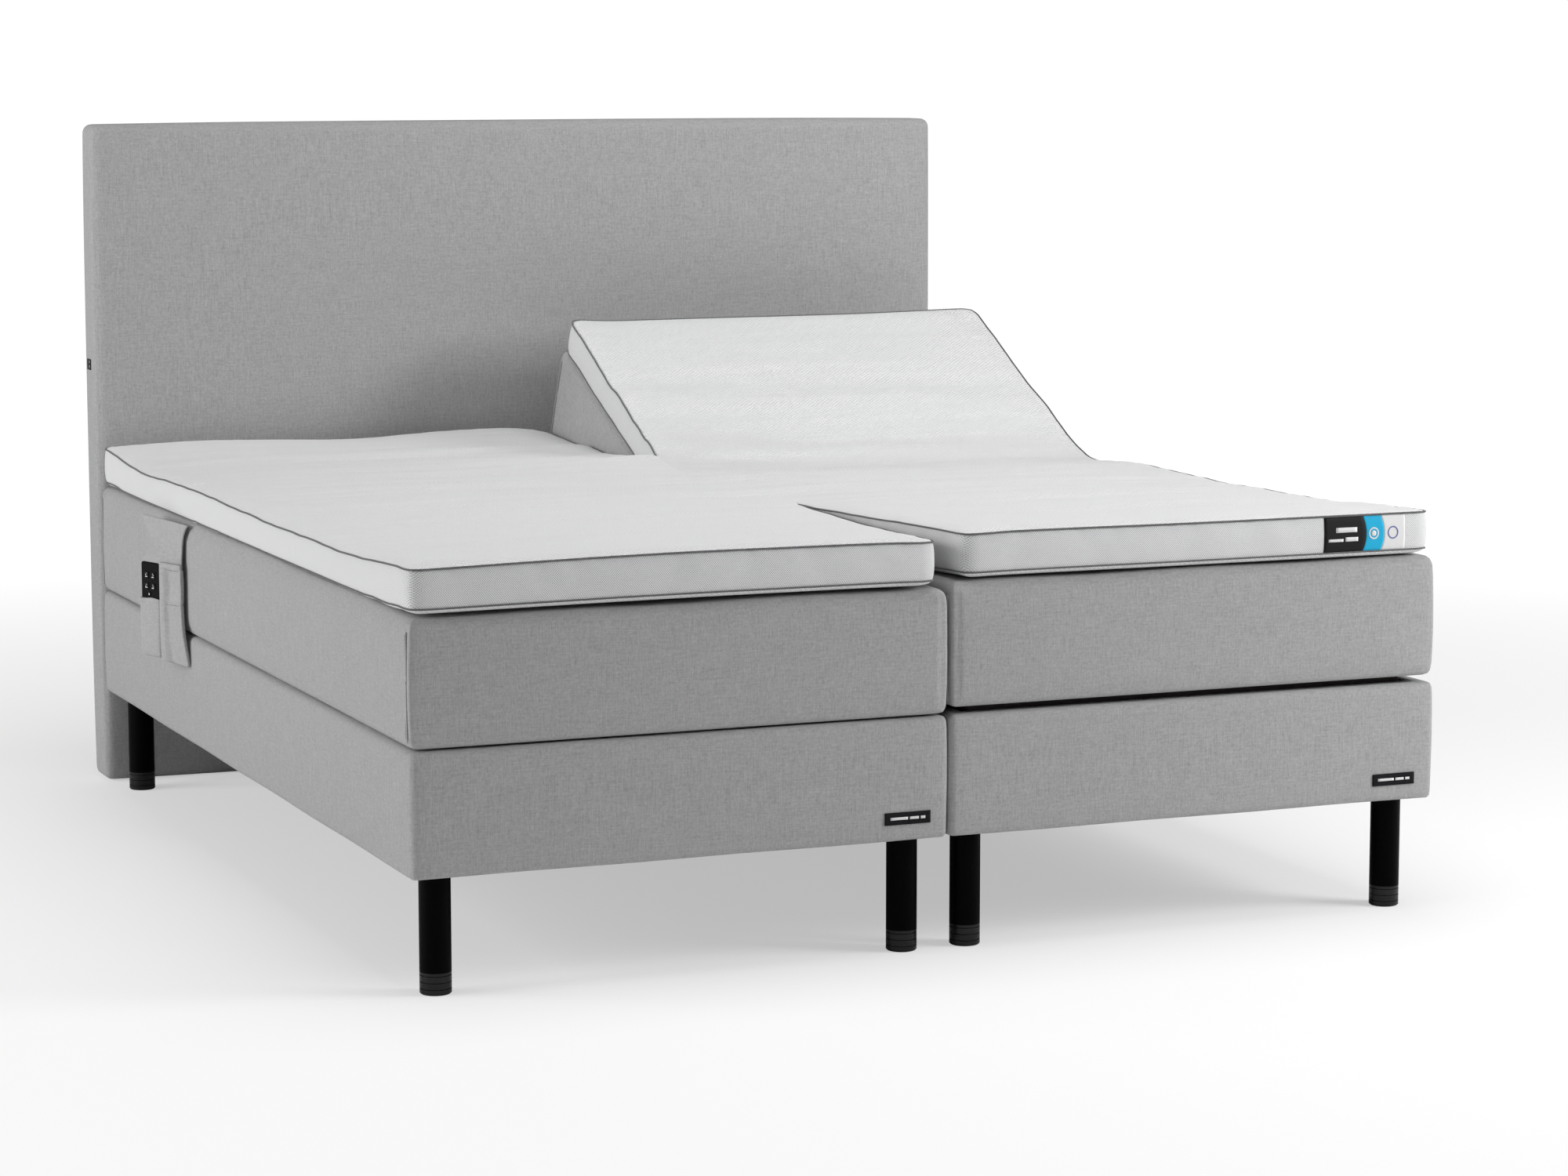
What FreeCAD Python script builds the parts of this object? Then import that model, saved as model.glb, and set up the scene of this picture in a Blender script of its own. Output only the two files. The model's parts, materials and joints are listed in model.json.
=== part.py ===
import FreeCAD, Part
import math
import os

# An upholstered double adjustable bed of two motorised halves, in millimetres.
# X runs across the bed, +Y towards the headboard, +Z up. The floor is z = 0, and the origin is
# under the middle of the whole footprint. "out" is a distance from the centre line, and side is
# -1 for the left half and +1 for the right half.
V = FreeCAD.Vector

# Overall sizes
HALF_WIDTH = 900.0
BED_LENGTH = 2000.0
HEADBOARD_GAP = 25.0
HEADBOARD_THICK = 100.0
HEADBOARD_HIGH = 1300.0
OVERALL_LENGTH = BED_LENGTH + HEADBOARD_GAP + HEADBOARD_THICK
FOOT_Y = -OVERALL_LENGTH / 2
HEAD_Y = FOOT_Y + BED_LENGTH
HEADBOARD_Y = HEAD_Y + HEADBOARD_GAP

# Heights
LEG_HIGH = 190.0
BASE_TOP = 388.0
DECK_LOW = 378.0
PAD_LOW = 390.0
PAD_TOP = 592.0
TOPPER_LOW = 594.0
TOPPER_TOP = 664.0

# Hinges: both run across the bed on the frames' torque shafts
HINGE_Z = 361.0
BACK_HINGE_Y = FOOT_Y + 1323.0
FOOT_HINGE_Y = FOOT_Y + 642.0
MIDDLE_Y = (BACK_HINGE_Y + FOOT_HINGE_Y) / 2
BACK_MAX = 60.0
FOOT_MAX = 28.0
BACK_AT_REST = {-1: 0.0, 1: 24.0}
FOOT_AT_REST = {-1: 0.0, 1: 0.8}
FOLD_GAP = 2.5

# Base boxes
BASE_INNER = 1.5
FOAM = 14.0
BOARD = 22.0
BOX_OUT = (BASE_INNER + FOAM, HALF_WIDTH - FOAM)
BOX_CAVITY = (BOX_OUT[0] + BOARD, BOX_OUT[1] - BOARD)
COVER_LOW = 194.0
BOARD_LOW = 196.0
BOARD_TOP = 384.0
LEG_RADIUS = 25.0
LEG_FOOT_HIGH = 35.0
LEG_FROM_SIDE = 55.0
LEG_FROM_END = 60.0
STUD_RADIUS = 5.0
STUD_HOLE = 5.2

# Frames and decks
CENTRE = 450.0
TUBE_HIGH = 30.0
TUBE_WIDE = 40.0
TUBE_WALL = 2.0
TUBE_LOW = DECK_LOW - TUBE_HIGH
SEAT_RAIL = 385.0
MOVING_RAIL = 383.0
PLATE = 6.0
SHAFT_RADIUS = 11.0
SHAFT_HOLE = 11.05
COLLAR_RADIUS = 15.0
DECK_GAP = 20.0
DECK_FROM_EDGE = 45.0

# Twin drive
DRIVE_WIDE = 64.0
DRIVE_LOW = 250.0
DRIVE_TOP = 345.0
LEVER = 75.0
LEVER_BAR = 8.0
PUSHER_CLEAR = 2.0
PUSHER_LONG = 110.0
SPINDLE_Z = 300.0
SPINDLE_RADIUS = 7.0

# Mattress and topper
PAD_INNER = 3.0
PAD_OUTER = {-1: 900.0, 1: 896.0}
TOPPER_INNER = 1.5
TOPPER_OUTER = {-1: 900.0, 1: 886.0}
TOPPER_FROM_HEAD = 25.0
SLIT_END_Y = FOOT_Y + 631.0
SLIT_OPEN = 24.0

# Remote control and its caddy, hung on the side of each back section
CADDY_Y = FOOT_Y + 1326.0
CADDY_OUT = 916.0
CADDY_TURN = 21.0
CADDY_WIDE = 130.0
POUCH_FROM = 66.0
POUCH_THICK = 23.0
POUCH_WALL = 2.5
POUCH_LOW = 333.0
POUCH_TOP = 449.0
STRAP_LOW = 518.0
STRAP_THICK = 5.0
REMOTE_WIDE = 58.0
REMOTE_THICK = 17.0
REMOTE_LOW = 352.0
REMOTE_TOP = 515.0
KEY_PLACES = {
    "head_up": (-10.0, 491.0),
    "foot_up": (10.0, 491.0),
    "head_down": (-10.0, 471.0),
    "foot_down": (10.0, 471.0),
    "light": (2.0, 456.5),
}
KEY_SIZE = 12.0
LIGHT_KEY_SIZE = 6.5

SIDES = {"left": -1, "right": 1}


def save(name, solids):
    """Write one sub-part to its own STEP file."""
    shape = solids[0] if len(solids) == 1 else Part.makeCompound(solids)
    shape.exportStep("parts/" + name + ".step")
    print(name, len(shape.Solids), round(shape.Volume / 1e6, 2), "litres", shape.isValid())


def block(side, out, y, z):
    """A box in one half, from pairs of distances: out from the centre line, along Y, and up."""
    x_low, x_high = sorted((side * out[0], side * out[1]))
    y_low, y_high = sorted(y)
    return Part.makeBox(x_high - x_low, y_high - y_low, z[1] - z[0], V(x_low, y_low, z[0]))


def rod(side, out, y, z, radius):
    """A cylinder along X, across one half."""
    x_low, x_high = sorted((side * out[0], side * out[1]))
    return Part.makeCylinder(radius, x_high - x_low, V(x_low, y, z), V(1, 0, 0))


def across(half_width):
    """Distances out from the centre line, for something centred on a half."""
    return (CENTRE - half_width, CENTRE + half_width)


def prism(side, out, outline):
    """An outline of (y, z) points, drawn out across one half."""
    x_low, x_high = sorted((side * out[0], side * out[1]))
    points = [V(x_low, y, z) for y, z in outline]
    wire = Part.makePolygon(points + points[:1])
    return Part.Face(wire).extrude(V(x_high - x_low, 0, 0))


def tube(side, out, y, z, along):
    """A rectangular steel tube with open ends, running along "x" or "y"."""
    wall = TUBE_WALL
    out_in = out if along == "x" else (out[0] + wall, out[1] - wall)
    y_low, y_high = sorted(y)
    y_in = (y_low, y_high) if along == "y" else (y_low + wall, y_high - wall)
    outer = block(side, out, y, z)
    axis = V(1, 0, 0) if along == "x" else V(0, 1, 0)
    edges = [e for e in outer.Edges if abs(e.tangentAt(e.FirstParameter).dot(axis)) > 0.9]
    return outer.makeFillet(3.0, edges).cut(block(side, out_in, y_in, (z[0] + wall, z[1] - wall)))


def turned(shapes, y, degrees):
    """The shapes turned about a hinge line, raising their +Y end for a positive angle."""
    for shape in shapes:
        shape.rotate(V(0, y, HINGE_Z), V(1, 0, 0), degrees)
    return shapes


def fold_offset(z, max_angle):
    """How far a padded section stays from its hinge plane at height z, so that it can fold."""
    return (z - HINGE_Z) * math.tan(math.radians(max_angle / 2)) + FOLD_GAP


def section_outline(z_low, z_high, foot_end, head_end):
    """A padded section's (y, z) outline. Each end is a plain y, or a hinge's (y, sign, angle)."""
    def end(place, z):
        if isinstance(place, float):
            return place
        y, sign, max_angle = place
        return y + sign * fold_offset(z, max_angle)
    return [
        (end(foot_end, z_low), z_low),
        (end(head_end, z_low), z_low),
        (end(head_end, z_high), z_high),
        (end(foot_end, z_high), z_high),
    ]


FOOT_SIDE_OF_BACK_HINGE = (BACK_HINGE_Y, -1, BACK_MAX)
HEAD_SIDE_OF_BACK_HINGE = (BACK_HINGE_Y, 1, BACK_MAX)
FOOT_SIDE_OF_FOOT_HINGE = (FOOT_HINGE_Y, -1, FOOT_MAX)
HEAD_SIDE_OF_FOOT_HINGE = (FOOT_HINGE_Y, 1, FOOT_MAX)


def leg_places():
    """The eight legs' (x, y) centres."""
    outs = (BASE_INNER + LEG_FROM_SIDE, HALF_WIDTH - LEG_FROM_SIDE)
    ys = (FOOT_Y + LEG_FROM_END, HEAD_Y - LEG_FROM_END)
    return [(side * out, y) for side in (-1, 1) for out in outs for y in ys]


# ---- headboard ---------------------------------------------------------------------------------

SOCKET_Y = HEADBOARD_Y + HEADBOARD_THICK / 2
SOCKET_Z = 828.0
SOCKET_FACE = (28.0, 21.0)
SOCKET_BODY = (24.0, 18.0)
SOCKET_DEEP = 28.0
PORT = (12.6, 5.2)
PORT_PITCH = 9.2
PORT_DEEP = 12.0


def socket_pocket(side, slack):
    """The hole that a charging socket sits in."""
    half_y = SOCKET_BODY[0] / 2 + slack
    half_z = SOCKET_BODY[1] / 2 + slack
    out = (HALF_WIDTH - SOCKET_DEEP - slack, HALF_WIDTH)
    return block(side, out, (SOCKET_Y - half_y, SOCKET_Y + half_y), (SOCKET_Z - half_z, SOCKET_Z + half_z))


def headboard():
    """The frame inside the headboard, and the foam and fabric round it."""
    skin = 18.0
    panel = 6.0
    stile = 40.0
    rail = 60.0
    wide = HALF_WIDTH - skin
    y_low = HEADBOARD_Y + skin
    y_high = HEADBOARD_Y + HEADBOARD_THICK - skin
    z_low = skin
    z_high = HEADBOARD_HIGH - skin
    pockets = [socket_pocket(side, 0.3) for side in (-1, 1)]
    frame = []
    for side in (-1, 1):
        post = block(side, (wide - stile, wide), (y_low + panel, y_high - panel), (z_low, z_high))
        frame.append(post.cut(pockets[0]).cut(pockets[1]))
    for z in (z_low, (z_low + z_high - rail) / 2, z_high - rail):
        bar = Part.makeBox(2 * (wide - stile), y_high - y_low - 2 * panel, rail, V(stile - wide, y_low + panel, z))
        frame.append(bar)
    for y in (y_low, y_high - panel):
        frame.append(Part.makeBox(2 * wide, panel, z_high - z_low, V(-wide, y, z_low)))
    save("headboard_frame", frame)
    outer = Part.makeBox(2 * HALF_WIDTH, HEADBOARD_THICK, HEADBOARD_HIGH, V(-HALF_WIDTH, HEADBOARD_Y, 0))
    outer = outer.makeFillet(17.0, outer.Edges)
    inner = Part.makeBox(2 * wide, y_high - y_low, z_high - z_low, V(-wide, y_low, z_low))
    save("headboard_upholstery", [outer.cut(inner).cut(pockets[0]).cut(pockets[1])])


def usb_sockets():
    """A two-port charging socket in each side of the headboard, made of bars round its ports."""
    solids = []
    for side in (-1, 1):
        face_out = HALF_WIDTH + 1.5
        port_back = face_out - PORT_DEEP
        half_y, half_z = SOCKET_BODY[0] / 2, SOCKET_BODY[1] / 2
        solids.append(block(
            side, (HALF_WIDTH - SOCKET_DEEP, port_back), (SOCKET_Y - half_y, SOCKET_Y + half_y),
            (SOCKET_Z - half_z, SOCKET_Z + half_z)))
        port_y = (SOCKET_Y - PORT[0] / 2, SOCKET_Y + PORT[0] / 2)
        port_tops = [SOCKET_Z + k * PORT_PITCH / 2 + PORT[1] / 2 for k in (-1, 1)]
        levels = (
            (SOCKET_Z - half_z, port_tops[0] - PORT[1]),
            (port_tops[0], port_tops[1] - PORT[1]),
            (port_tops[1], SOCKET_Z + half_z),
        )
        for z in levels:
            solids.append(block(side, (port_back, face_out), port_y, z))
        for y in ((SOCKET_Y - half_y, port_y[0]), (port_y[1], SOCKET_Y + half_y)):
            solids.append(block(side, (port_back, face_out), y, (SOCKET_Z - half_z, SOCKET_Z + half_z)))
        for k in (-1, 1):
            y = (SOCKET_Y + k * half_y, SOCKET_Y + k * SOCKET_FACE[0] / 2)
            solids.append(block(side, (HALF_WIDTH, face_out), y, (SOCKET_Z - half_z, SOCKET_Z + half_z)))
            z = sorted((SOCKET_Z + k * half_z, SOCKET_Z + k * SOCKET_FACE[1] / 2))
            y = (SOCKET_Y - SOCKET_FACE[0] / 2, SOCKET_Y + SOCKET_FACE[0] / 2)
            solids.append(block(side, (HALF_WIDTH, face_out), y, z))
    save("usb_sockets", solids)


def headboard_brackets():
    """Steel brackets that join the headboard to the head ends of the bases."""
    plate = 4.0
    solids = []
    for side in (-1, 1):
        for out in (250.0, 650.0):
            wide = (out - 30, out + 30)
            near = block(side, wide, (HEAD_Y, HEAD_Y + plate), (230, 330))
            far = block(side, wide, (HEADBOARD_Y - plate, HEADBOARD_Y), (230, 330))
            web = block(side, (out - 3, out + 3), (HEAD_Y, HEADBOARD_Y), (230, 330))
            solids.append(near.fuse(far).fuse(web).removeSplitter())
    save("headboard_brackets", solids)


# ---- bases and legs ----------------------------------------------------------------------------

def base_upholstery(name, side):
    """The woven cover and foam round a base, as four mitred panels."""
    ends = [(BASE_INNER, FOOT_Y), (HALF_WIDTH, FOOT_Y), (HALF_WIDTH, HEAD_Y), (BASE_INNER, HEAD_Y)]
    inner = [
        (BOX_OUT[0], FOOT_Y + FOAM), (BOX_OUT[1], FOOT_Y + FOAM),
        (BOX_OUT[1], HEAD_Y - FOAM), (BOX_OUT[0], HEAD_Y - FOAM)]
    panels = []
    for i in range(4):
        j = (i + 1) % 4
        corners = [V(side * out, y, LEG_HIGH) for out, y in (ends[i], ends[j], inner[j], inner[i])]
        panels.append(Part.Face(Part.makePolygon(corners + corners[:1])).extrude(V(0, 0, BASE_TOP - LEG_HIGH)))
    save(name + "_base_upholstery", panels)


def base_box(name, side):
    """The timber box of a base: side, end and cross boards, and drilled corner blocks."""
    z = (BOARD_LOW, BOARD_TOP)
    y_ends = (FOOT_Y + FOAM, HEAD_Y - FOAM)
    inner, outer = BOX_CAVITY
    boards = [block(side, (BOX_OUT[0], inner), y_ends, z), block(side, (outer, BOX_OUT[1]), y_ends, z)]
    for y in ((y_ends[0], y_ends[0] + BOARD), (y_ends[1] - BOARD, y_ends[1])):
        boards.append(block(side, BOX_CAVITY, y, z))
    for y in (FOOT_Y + 300, HEAD_Y - 310):
        boards.append(block(side, BOX_CAVITY, (y, y + BOARD), (BOARD_LOW, BOARD_LOW + 70)))
    block_size = 70.0
    for x, y in leg_places():
        if x * side < 0:
            continue
        out = (inner, inner + block_size) if abs(x) < CENTRE else (outer - block_size, outer)
        start = y_ends[0] + BOARD if y < MIDDLE_Y else y_ends[1] - BOARD - block_size
        corner = block(side, out, (start, start + block_size), (BOARD_LOW, BOARD_LOW + 60))
        boards.append(corner.cut(Part.makeCylinder(STUD_HOLE, 60, V(x, y, BOARD_LOW))))
    save(name + "_base_box", boards)


def dust_covers():
    """A thin non-woven sheet under each base, with a hole for every leg's stud."""
    covers = []
    for side in (-1, 1):
        cover = block(side, BOX_OUT, (FOOT_Y + FOAM, HEAD_Y - FOAM), (COVER_LOW, BOARD_LOW))
        for x, y in leg_places():
            cover = cover.cut(Part.makeCylinder(STUD_HOLE, 2, V(x, y, COVER_LOW)))
        covers.append(cover)
    save("dust_covers", covers)


def legs():
    """Round legs with ribbed feet, and the studs that hold them to the corner blocks."""
    rib = 8.5
    groove = 2.0
    groove_deep = 1.6
    posts, feet, studs = [], [], []
    for x, y in leg_places():
        post = Part.makeCylinder(LEG_RADIUS, COVER_LOW - LEG_FOOT_HIGH, V(x, y, LEG_FOOT_HIGH))
        posts.append(post.cut(Part.makeCylinder(STUD_HOLE, 26, V(x, y, COVER_LOW - 26))))
        outline = [V(0, 0, 0), V(LEG_RADIUS - 2, 0, 0), V(LEG_RADIUS, 0, 2)]
        z = rib
        while z < LEG_FOOT_HIGH - groove:
            outline += [V(LEG_RADIUS, 0, z), V(LEG_RADIUS - groove_deep, 0, z + 0.5)]
            outline += [V(LEG_RADIUS - groove_deep, 0, z + groove - 0.5), V(LEG_RADIUS, 0, z + groove)]
            z += rib + groove
        outline += [V(LEG_RADIUS, 0, LEG_FOOT_HIGH), V(0, 0, LEG_FOOT_HIGH)]
        foot = Part.Face(Part.makePolygon(outline + outline[:1])).revolve(V(0, 0, 0), V(0, 0, 1), 360)
        foot.translate(V(x, y, 0))
        feet.append(foot)
        stud = Part.makeCylinder(STUD_RADIUS, 90, V(x, y, COVER_LOW - 24))
        nut = Part.makeCylinder(12, 6, V(x, y, BOARD_LOW + 60))
        studs.append(stud.fuse(nut).removeSplitter())
    save("legs", posts)
    save("leg_feet", feet)
    save("leg_studs", studs)


def woven_tags():
    """A small woven tag on the foot end of each base."""
    size = (80.0, 1.0, 20.0)
    z = 218.0
    tags = [Part.makeBox(*size, V(x, FOOT_Y - size[1], z)) for x in (-114.0, 782.0)]
    save("woven_tags", tags)


# ---- frames and decks --------------------------------------------------------------------------

def shaft_hole(side, y, out):
    """A running hole round a torque shaft."""
    return rod(side, out, y, HINGE_Z, SHAFT_HOLE)


def seat_frame(name, side):
    """The fixed frame between the two hinges, with bearing plates and brackets to the base."""
    end_gap = 35.0
    y_ends = (FOOT_HINGE_Y + end_gap, BACK_HINGE_Y - end_gap)
    z = (TUBE_LOW, DECK_LOW)
    inner = SEAT_RAIL - TUBE_WIDE
    solids = []
    for k in (-1, 1):
        rail_out = sorted((CENTRE + k * inner, CENTRE + k * SEAT_RAIL))
        solids.append(tube(side, rail_out, y_ends, z, "y"))
        plate_out = sorted((CENTRE + k * SEAT_RAIL, CENTRE + k * (SEAT_RAIL + PLATE)))
        edge = BOX_CAVITY[1] if k > 0 else BOX_CAVITY[0]
        bracket_out = sorted((CENTRE + k * (SEAT_RAIL + PLATE), edge))
        for hinge_y, inward in ((FOOT_HINGE_Y, 1), (BACK_HINGE_Y, -1)):
            y = (hinge_y - inward * 18, hinge_y + inward * 90)
            plate = block(side, plate_out, y, (HINGE_Z - 20, DECK_LOW))
            solids.append(plate.cut(shaft_hole(side, hinge_y, plate_out)))
            y = (hinge_y + inward * 40, hinge_y + inward * 85)
            solids.append(block(side, bracket_out, y, (HINGE_Z - 20, HINGE_Z - 14)))
    length = y_ends[1] - y_ends[0]
    for step in range(5):
        y = y_ends[0] + 10 + step * (length - 20 - TUBE_HIGH) / 4
        solids.append(tube(side, across(inner), (y, y + TUBE_HIGH), z, "x"))
    save(name + "_seat_frame", solids)


def moving_frame(name, side, hinge_y, head_ward, far_y, rest_angle, max_angle):
    """A hinged frame: torque shaft, lever with its end bar, collars, two rails and cross bars."""
    z = (TUBE_LOW, DECK_LOW)
    inner = MOVING_RAIL - TUBE_WIDE
    shaft = rod(side, across(SEAT_RAIL + PLATE + 4), hinge_y, HINGE_Z, SHAFT_RADIUS)
    solids = [shaft]
    for k in (-1, 1):
        rail_out = sorted((CENTRE + k * inner, CENTRE + k * MOVING_RAIL))
        collar = rod(side, rail_out, hinge_y, HINGE_Z, COLLAR_RADIUS)
        rail = tube(side, rail_out, (hinge_y + head_ward * 4, far_y), z, "y")
        solids.append(collar.cut(rod(side, rail_out, hinge_y, HINGE_Z, SHAFT_RADIUS)))
        solids.append(rail.cut(collar))
    length = abs(far_y - hinge_y)
    for step in range(1, 5):
        y = hinge_y + head_ward * (length - TUBE_HIGH) * step / 4
        solids.append(tube(side, across(inner), (y, y + head_ward * TUBE_HIGH), z, "x"))
    solids.append(lever(side, hinge_y, head_ward, max_angle))
    save(name, turned(solids, hinge_y, head_ward * rest_angle))


def lever(side, hinge_y, head_ward, max_angle):
    """The lever that a pusher acts on. It swings equally to both sides of straight down."""
    hub_radius = 18.0
    start = math.radians(max_angle / 2)
    tip_y = hinge_y - head_ward * LEVER * math.sin(start)
    tip_z = HINGE_Z - LEVER * math.cos(start)
    hub = rod(side, across(20), hinge_y, HINGE_Z, hub_radius)
    bar = rod(side, across(35), tip_y, tip_z, LEVER_BAR)
    arm = block(side, across(6), (hinge_y - 7, hinge_y + 7), (HINGE_Z - LEVER, HINGE_Z))
    arm.rotate(V(0, hinge_y, HINGE_Z), V(1, 0, 0), -head_ward * max_angle / 2)
    shape = hub.fuse(arm).fuse(bar)
    return shape.cut(rod(side, across(20), hinge_y, HINGE_Z, SHAFT_RADIUS)).removeSplitter()


def deck(side, y_ends):
    """A plywood deck panel with rounded corners."""
    panel = block(side, (DECK_FROM_EDGE, HALF_WIDTH - DECK_FROM_EDGE), y_ends, (DECK_LOW, PAD_LOW))
    return panel.makeFillet(8.0, [e for e in panel.Edges if e.Length < 13])


# ---- twin drive --------------------------------------------------------------------------------

def drive_housing(name, side):
    """Two cheeks that hang on the torque shafts, a bottom plate and a gearbox block."""
    ear = 22.0
    outline = [
        (FOOT_HINGE_Y - ear, DRIVE_LOW), (BACK_HINGE_Y + ear, DRIVE_LOW),
        (BACK_HINGE_Y + ear, DECK_LOW - 2), (BACK_HINGE_Y - ear, DECK_LOW - 2),
        (BACK_HINGE_Y - ear - 8, DRIVE_TOP), (FOOT_HINGE_Y + ear + 8, DRIVE_TOP),
        (FOOT_HINGE_Y + ear, DECK_LOW - 2), (FOOT_HINGE_Y - ear, DECK_LOW - 2),
    ]
    solids = []
    for k in (-1, 1):
        out = sorted((CENTRE + k * DRIVE_WIDE, CENTRE + k * (DRIVE_WIDE + PLATE)))
        cheek = prism(side, out, outline)
        for hinge_y in (FOOT_HINGE_Y, BACK_HINGE_Y):
            cheek = cheek.cut(shaft_hole(side, hinge_y, out))
        solids.append(cheek)
    y_ends = (FOOT_HINGE_Y - ear, BACK_HINGE_Y + ear)
    solids.append(block(side, across(DRIVE_WIDE), y_ends, (DRIVE_LOW, DRIVE_LOW + 4)))
    solids.append(block(side, across(DRIVE_WIDE), (MIDDLE_Y - 80, MIDDLE_Y + 80), (DRIVE_LOW + 4, DRIVE_TOP - 5)))
    save(name + "_drive_housing", solids)


def drive_motors():
    """Two gear motors and two threaded spindles to each drive."""
    tip_gap = 60.0
    solids = []
    for side in (-1, 1):
        for hinge_y, head_ward in ((FOOT_HINGE_Y, -1), (BACK_HINGE_Y, 1)):
            start = MIDDLE_Y + head_ward * 80
            length = abs(hinge_y - start) - tip_gap
            place = V(side * CENTRE, start, SPINDLE_Z)
            solids.append(Part.makeCylinder(SPINDLE_RADIUS, length, place, V(0, head_ward, 0)))
            motor_y = MIDDLE_Y + head_ward * 42
            wide = (CENTRE + DRIVE_WIDE + PLATE, CENTRE + 215)
            neck = (wide[0], wide[0] + 14)
            body = rod(side, (neck[1], wide[1]), motor_y, SPINDLE_Z, 30)
            body = body.makeFillet(5.0, [e for e in body.Edges if e.Length > 100])
            solids.append(rod(side, neck, motor_y, SPINDLE_Z, 24).fuse(body).removeSplitter())
    save("drive_motors", solids)


def pusher(name, side, hinge_y, head_ward, rest_angle, max_angle):
    """The block that runs out along a spindle and turns a lever."""
    start = math.radians(max_angle / 2)
    travel_rate = LEVER * math.sin(start) / start
    bar_now = -LEVER * math.sin(start) + travel_rate * math.radians(rest_angle)
    front = hinge_y + head_ward * (bar_now - LEVER_BAR - PUSHER_CLEAR)
    back = front - head_ward * PUSHER_LONG
    body = block(side, across(40), (back, front), (SPINDLE_Z - 30, SPINDLE_Z + 32))
    body = body.makeFillet(4.0, [e for e in body.Edges if e.Length > 100])
    place = V(side * CENTRE, back, SPINDLE_Z)
    bore = Part.makeCylinder(SPINDLE_RADIUS + 0.6, PUSHER_LONG - 8, place, V(0, head_ward, 0))
    slot = block(side, across(9), (front - head_ward * 26, front + head_ward), (SPINDLE_Z - 18, SPINDLE_Z + 40))
    save(name, [body.cut(bore).cut(slot)])
    print(name, "moves", round(travel_rate / 1000, 5), "metres a radian")


def control_box():
    """The box that drives both halves' motors, under the left seat frame."""
    case = block(-1, (240, 370), (MIDDLE_Y - 95, MIDDLE_Y + 95), (300, TUBE_LOW))
    save("control_box", [case.makeFillet(6.0, [e for e in case.Edges if e.Length < 50])])


# ---- mattresses and topper ---------------------------------------------------------------------

def pad(side, foot_end, head_end):
    """One section of a mattress."""
    return prism(side, (PAD_INNER, PAD_OUTER[side]), section_outline(PAD_LOW, PAD_TOP, foot_end, head_end))


def topper_flap(side, foot_end, head_end):
    """One flap of the topper. A foot flap tapers away from the centre line."""
    outline = section_outline(TOPPER_LOW, TOPPER_TOP, foot_end, head_end)
    flap = prism(side, (TOPPER_INNER, TOPPER_OUTER[side]), outline)
    if foot_end == FOOT_Y:
        wedge = [V(side * out, y, TOPPER_LOW) for out, y in (
            (0, SLIT_END_Y), (TOPPER_INNER, SLIT_END_Y), (SLIT_OPEN, FOOT_Y), (0, FOOT_Y))]
        wedge = Part.Face(Part.makePolygon(wedge + wedge[:1])).extrude(V(0, 0, TOPPER_TOP - TOPPER_LOW))
        flap = flap.cut(wedge)
    return flap


def topper_centre():
    """The middle of the topper, in one piece right across the bed."""
    outline = section_outline(TOPPER_LOW, TOPPER_TOP, HEAD_SIDE_OF_FOOT_HINGE, FOOT_SIDE_OF_BACK_HINGE)
    left = prism(-1, (0, TOPPER_OUTER[-1]), outline)
    right = prism(1, (0, TOPPER_OUTER[1]), outline)
    save("topper_centre", [left.fuse(right).removeSplitter()])


# ---- remote control and caddy ------------------------------------------------------------------

def caddy_place(shapes, side, rest_angle):
    """Turn shapes made square to the left side into a caddy's place, on either half."""
    placed = []
    for shape in shapes:
        shape.rotate(V(-CADDY_OUT, CADDY_Y, 0), V(0, 0, 1), CADDY_TURN)
        placed.append(shape if side < 0 else shape.mirror(V(0, 0, 0), V(1, 0, 0)))
    return turned(placed, BACK_HINGE_Y, rest_angle)


def caddy_block(along, inward, z):
    """A box square to the left side: along from the caddy's foot edge, and in from its outer face."""
    x = (-CADDY_OUT + inward[0], -CADDY_OUT + inward[1])
    return Part.makeBox(
        x[1] - x[0], along[1] - along[0], z[1] - z[0], V(x[0], CADDY_Y + along[0], z[0]))


def remote_caddy(side):
    """Folded side flap, pouch walls and floor, and the strap up to the tab under the topper."""
    wall = POUCH_WALL
    pouch = (POUCH_FROM, CADDY_WIDE)
    z = (POUCH_LOW, POUCH_TOP)
    solids = [
        caddy_block((0, POUCH_FROM), (0, 9), (POUCH_LOW, STRAP_LOW)),
        caddy_block(pouch, (0, wall), z),
        caddy_block(pouch, (POUCH_THICK - wall, POUCH_THICK), (POUCH_LOW, STRAP_LOW)),
        caddy_block((POUCH_FROM, POUCH_FROM + wall), (wall, POUCH_THICK - wall), z),
        caddy_block((CADDY_WIDE - wall, CADDY_WIDE), (wall, POUCH_THICK - wall), z),
        caddy_block((POUCH_FROM + wall, CADDY_WIDE - wall), (wall, POUCH_THICK - wall), (POUCH_LOW, REMOTE_LOW - 1)),
    ]
    strap_top = TOPPER_LOW - 1.6
    outline = [(0, STRAP_LOW), (CADDY_WIDE, STRAP_LOW), (196, strap_top), (8, strap_top)]
    outline = [V(4 - CADDY_OUT, CADDY_Y + along, z) for along, z in outline]
    strap = Part.Face(Part.makePolygon(outline + outline[:1])).extrude(V(STRAP_THICK, 0, 0))
    solids.append(strap)
    tab = Part.makeBox(114, 58, 1.2, V(-CADDY_OUT - 24, CADDY_Y + 137, strap_top))
    solids[-1].rotate(V(-CADDY_OUT, CADDY_Y, 0), V(0, 0, 1), 8 - CADDY_TURN)
    tab.rotate(V(-CADDY_OUT, CADDY_Y, 0), V(0, 0, 1), -CADDY_TURN)
    return caddy_place(solids + [tab], side, BACK_AT_REST[side])


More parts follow.
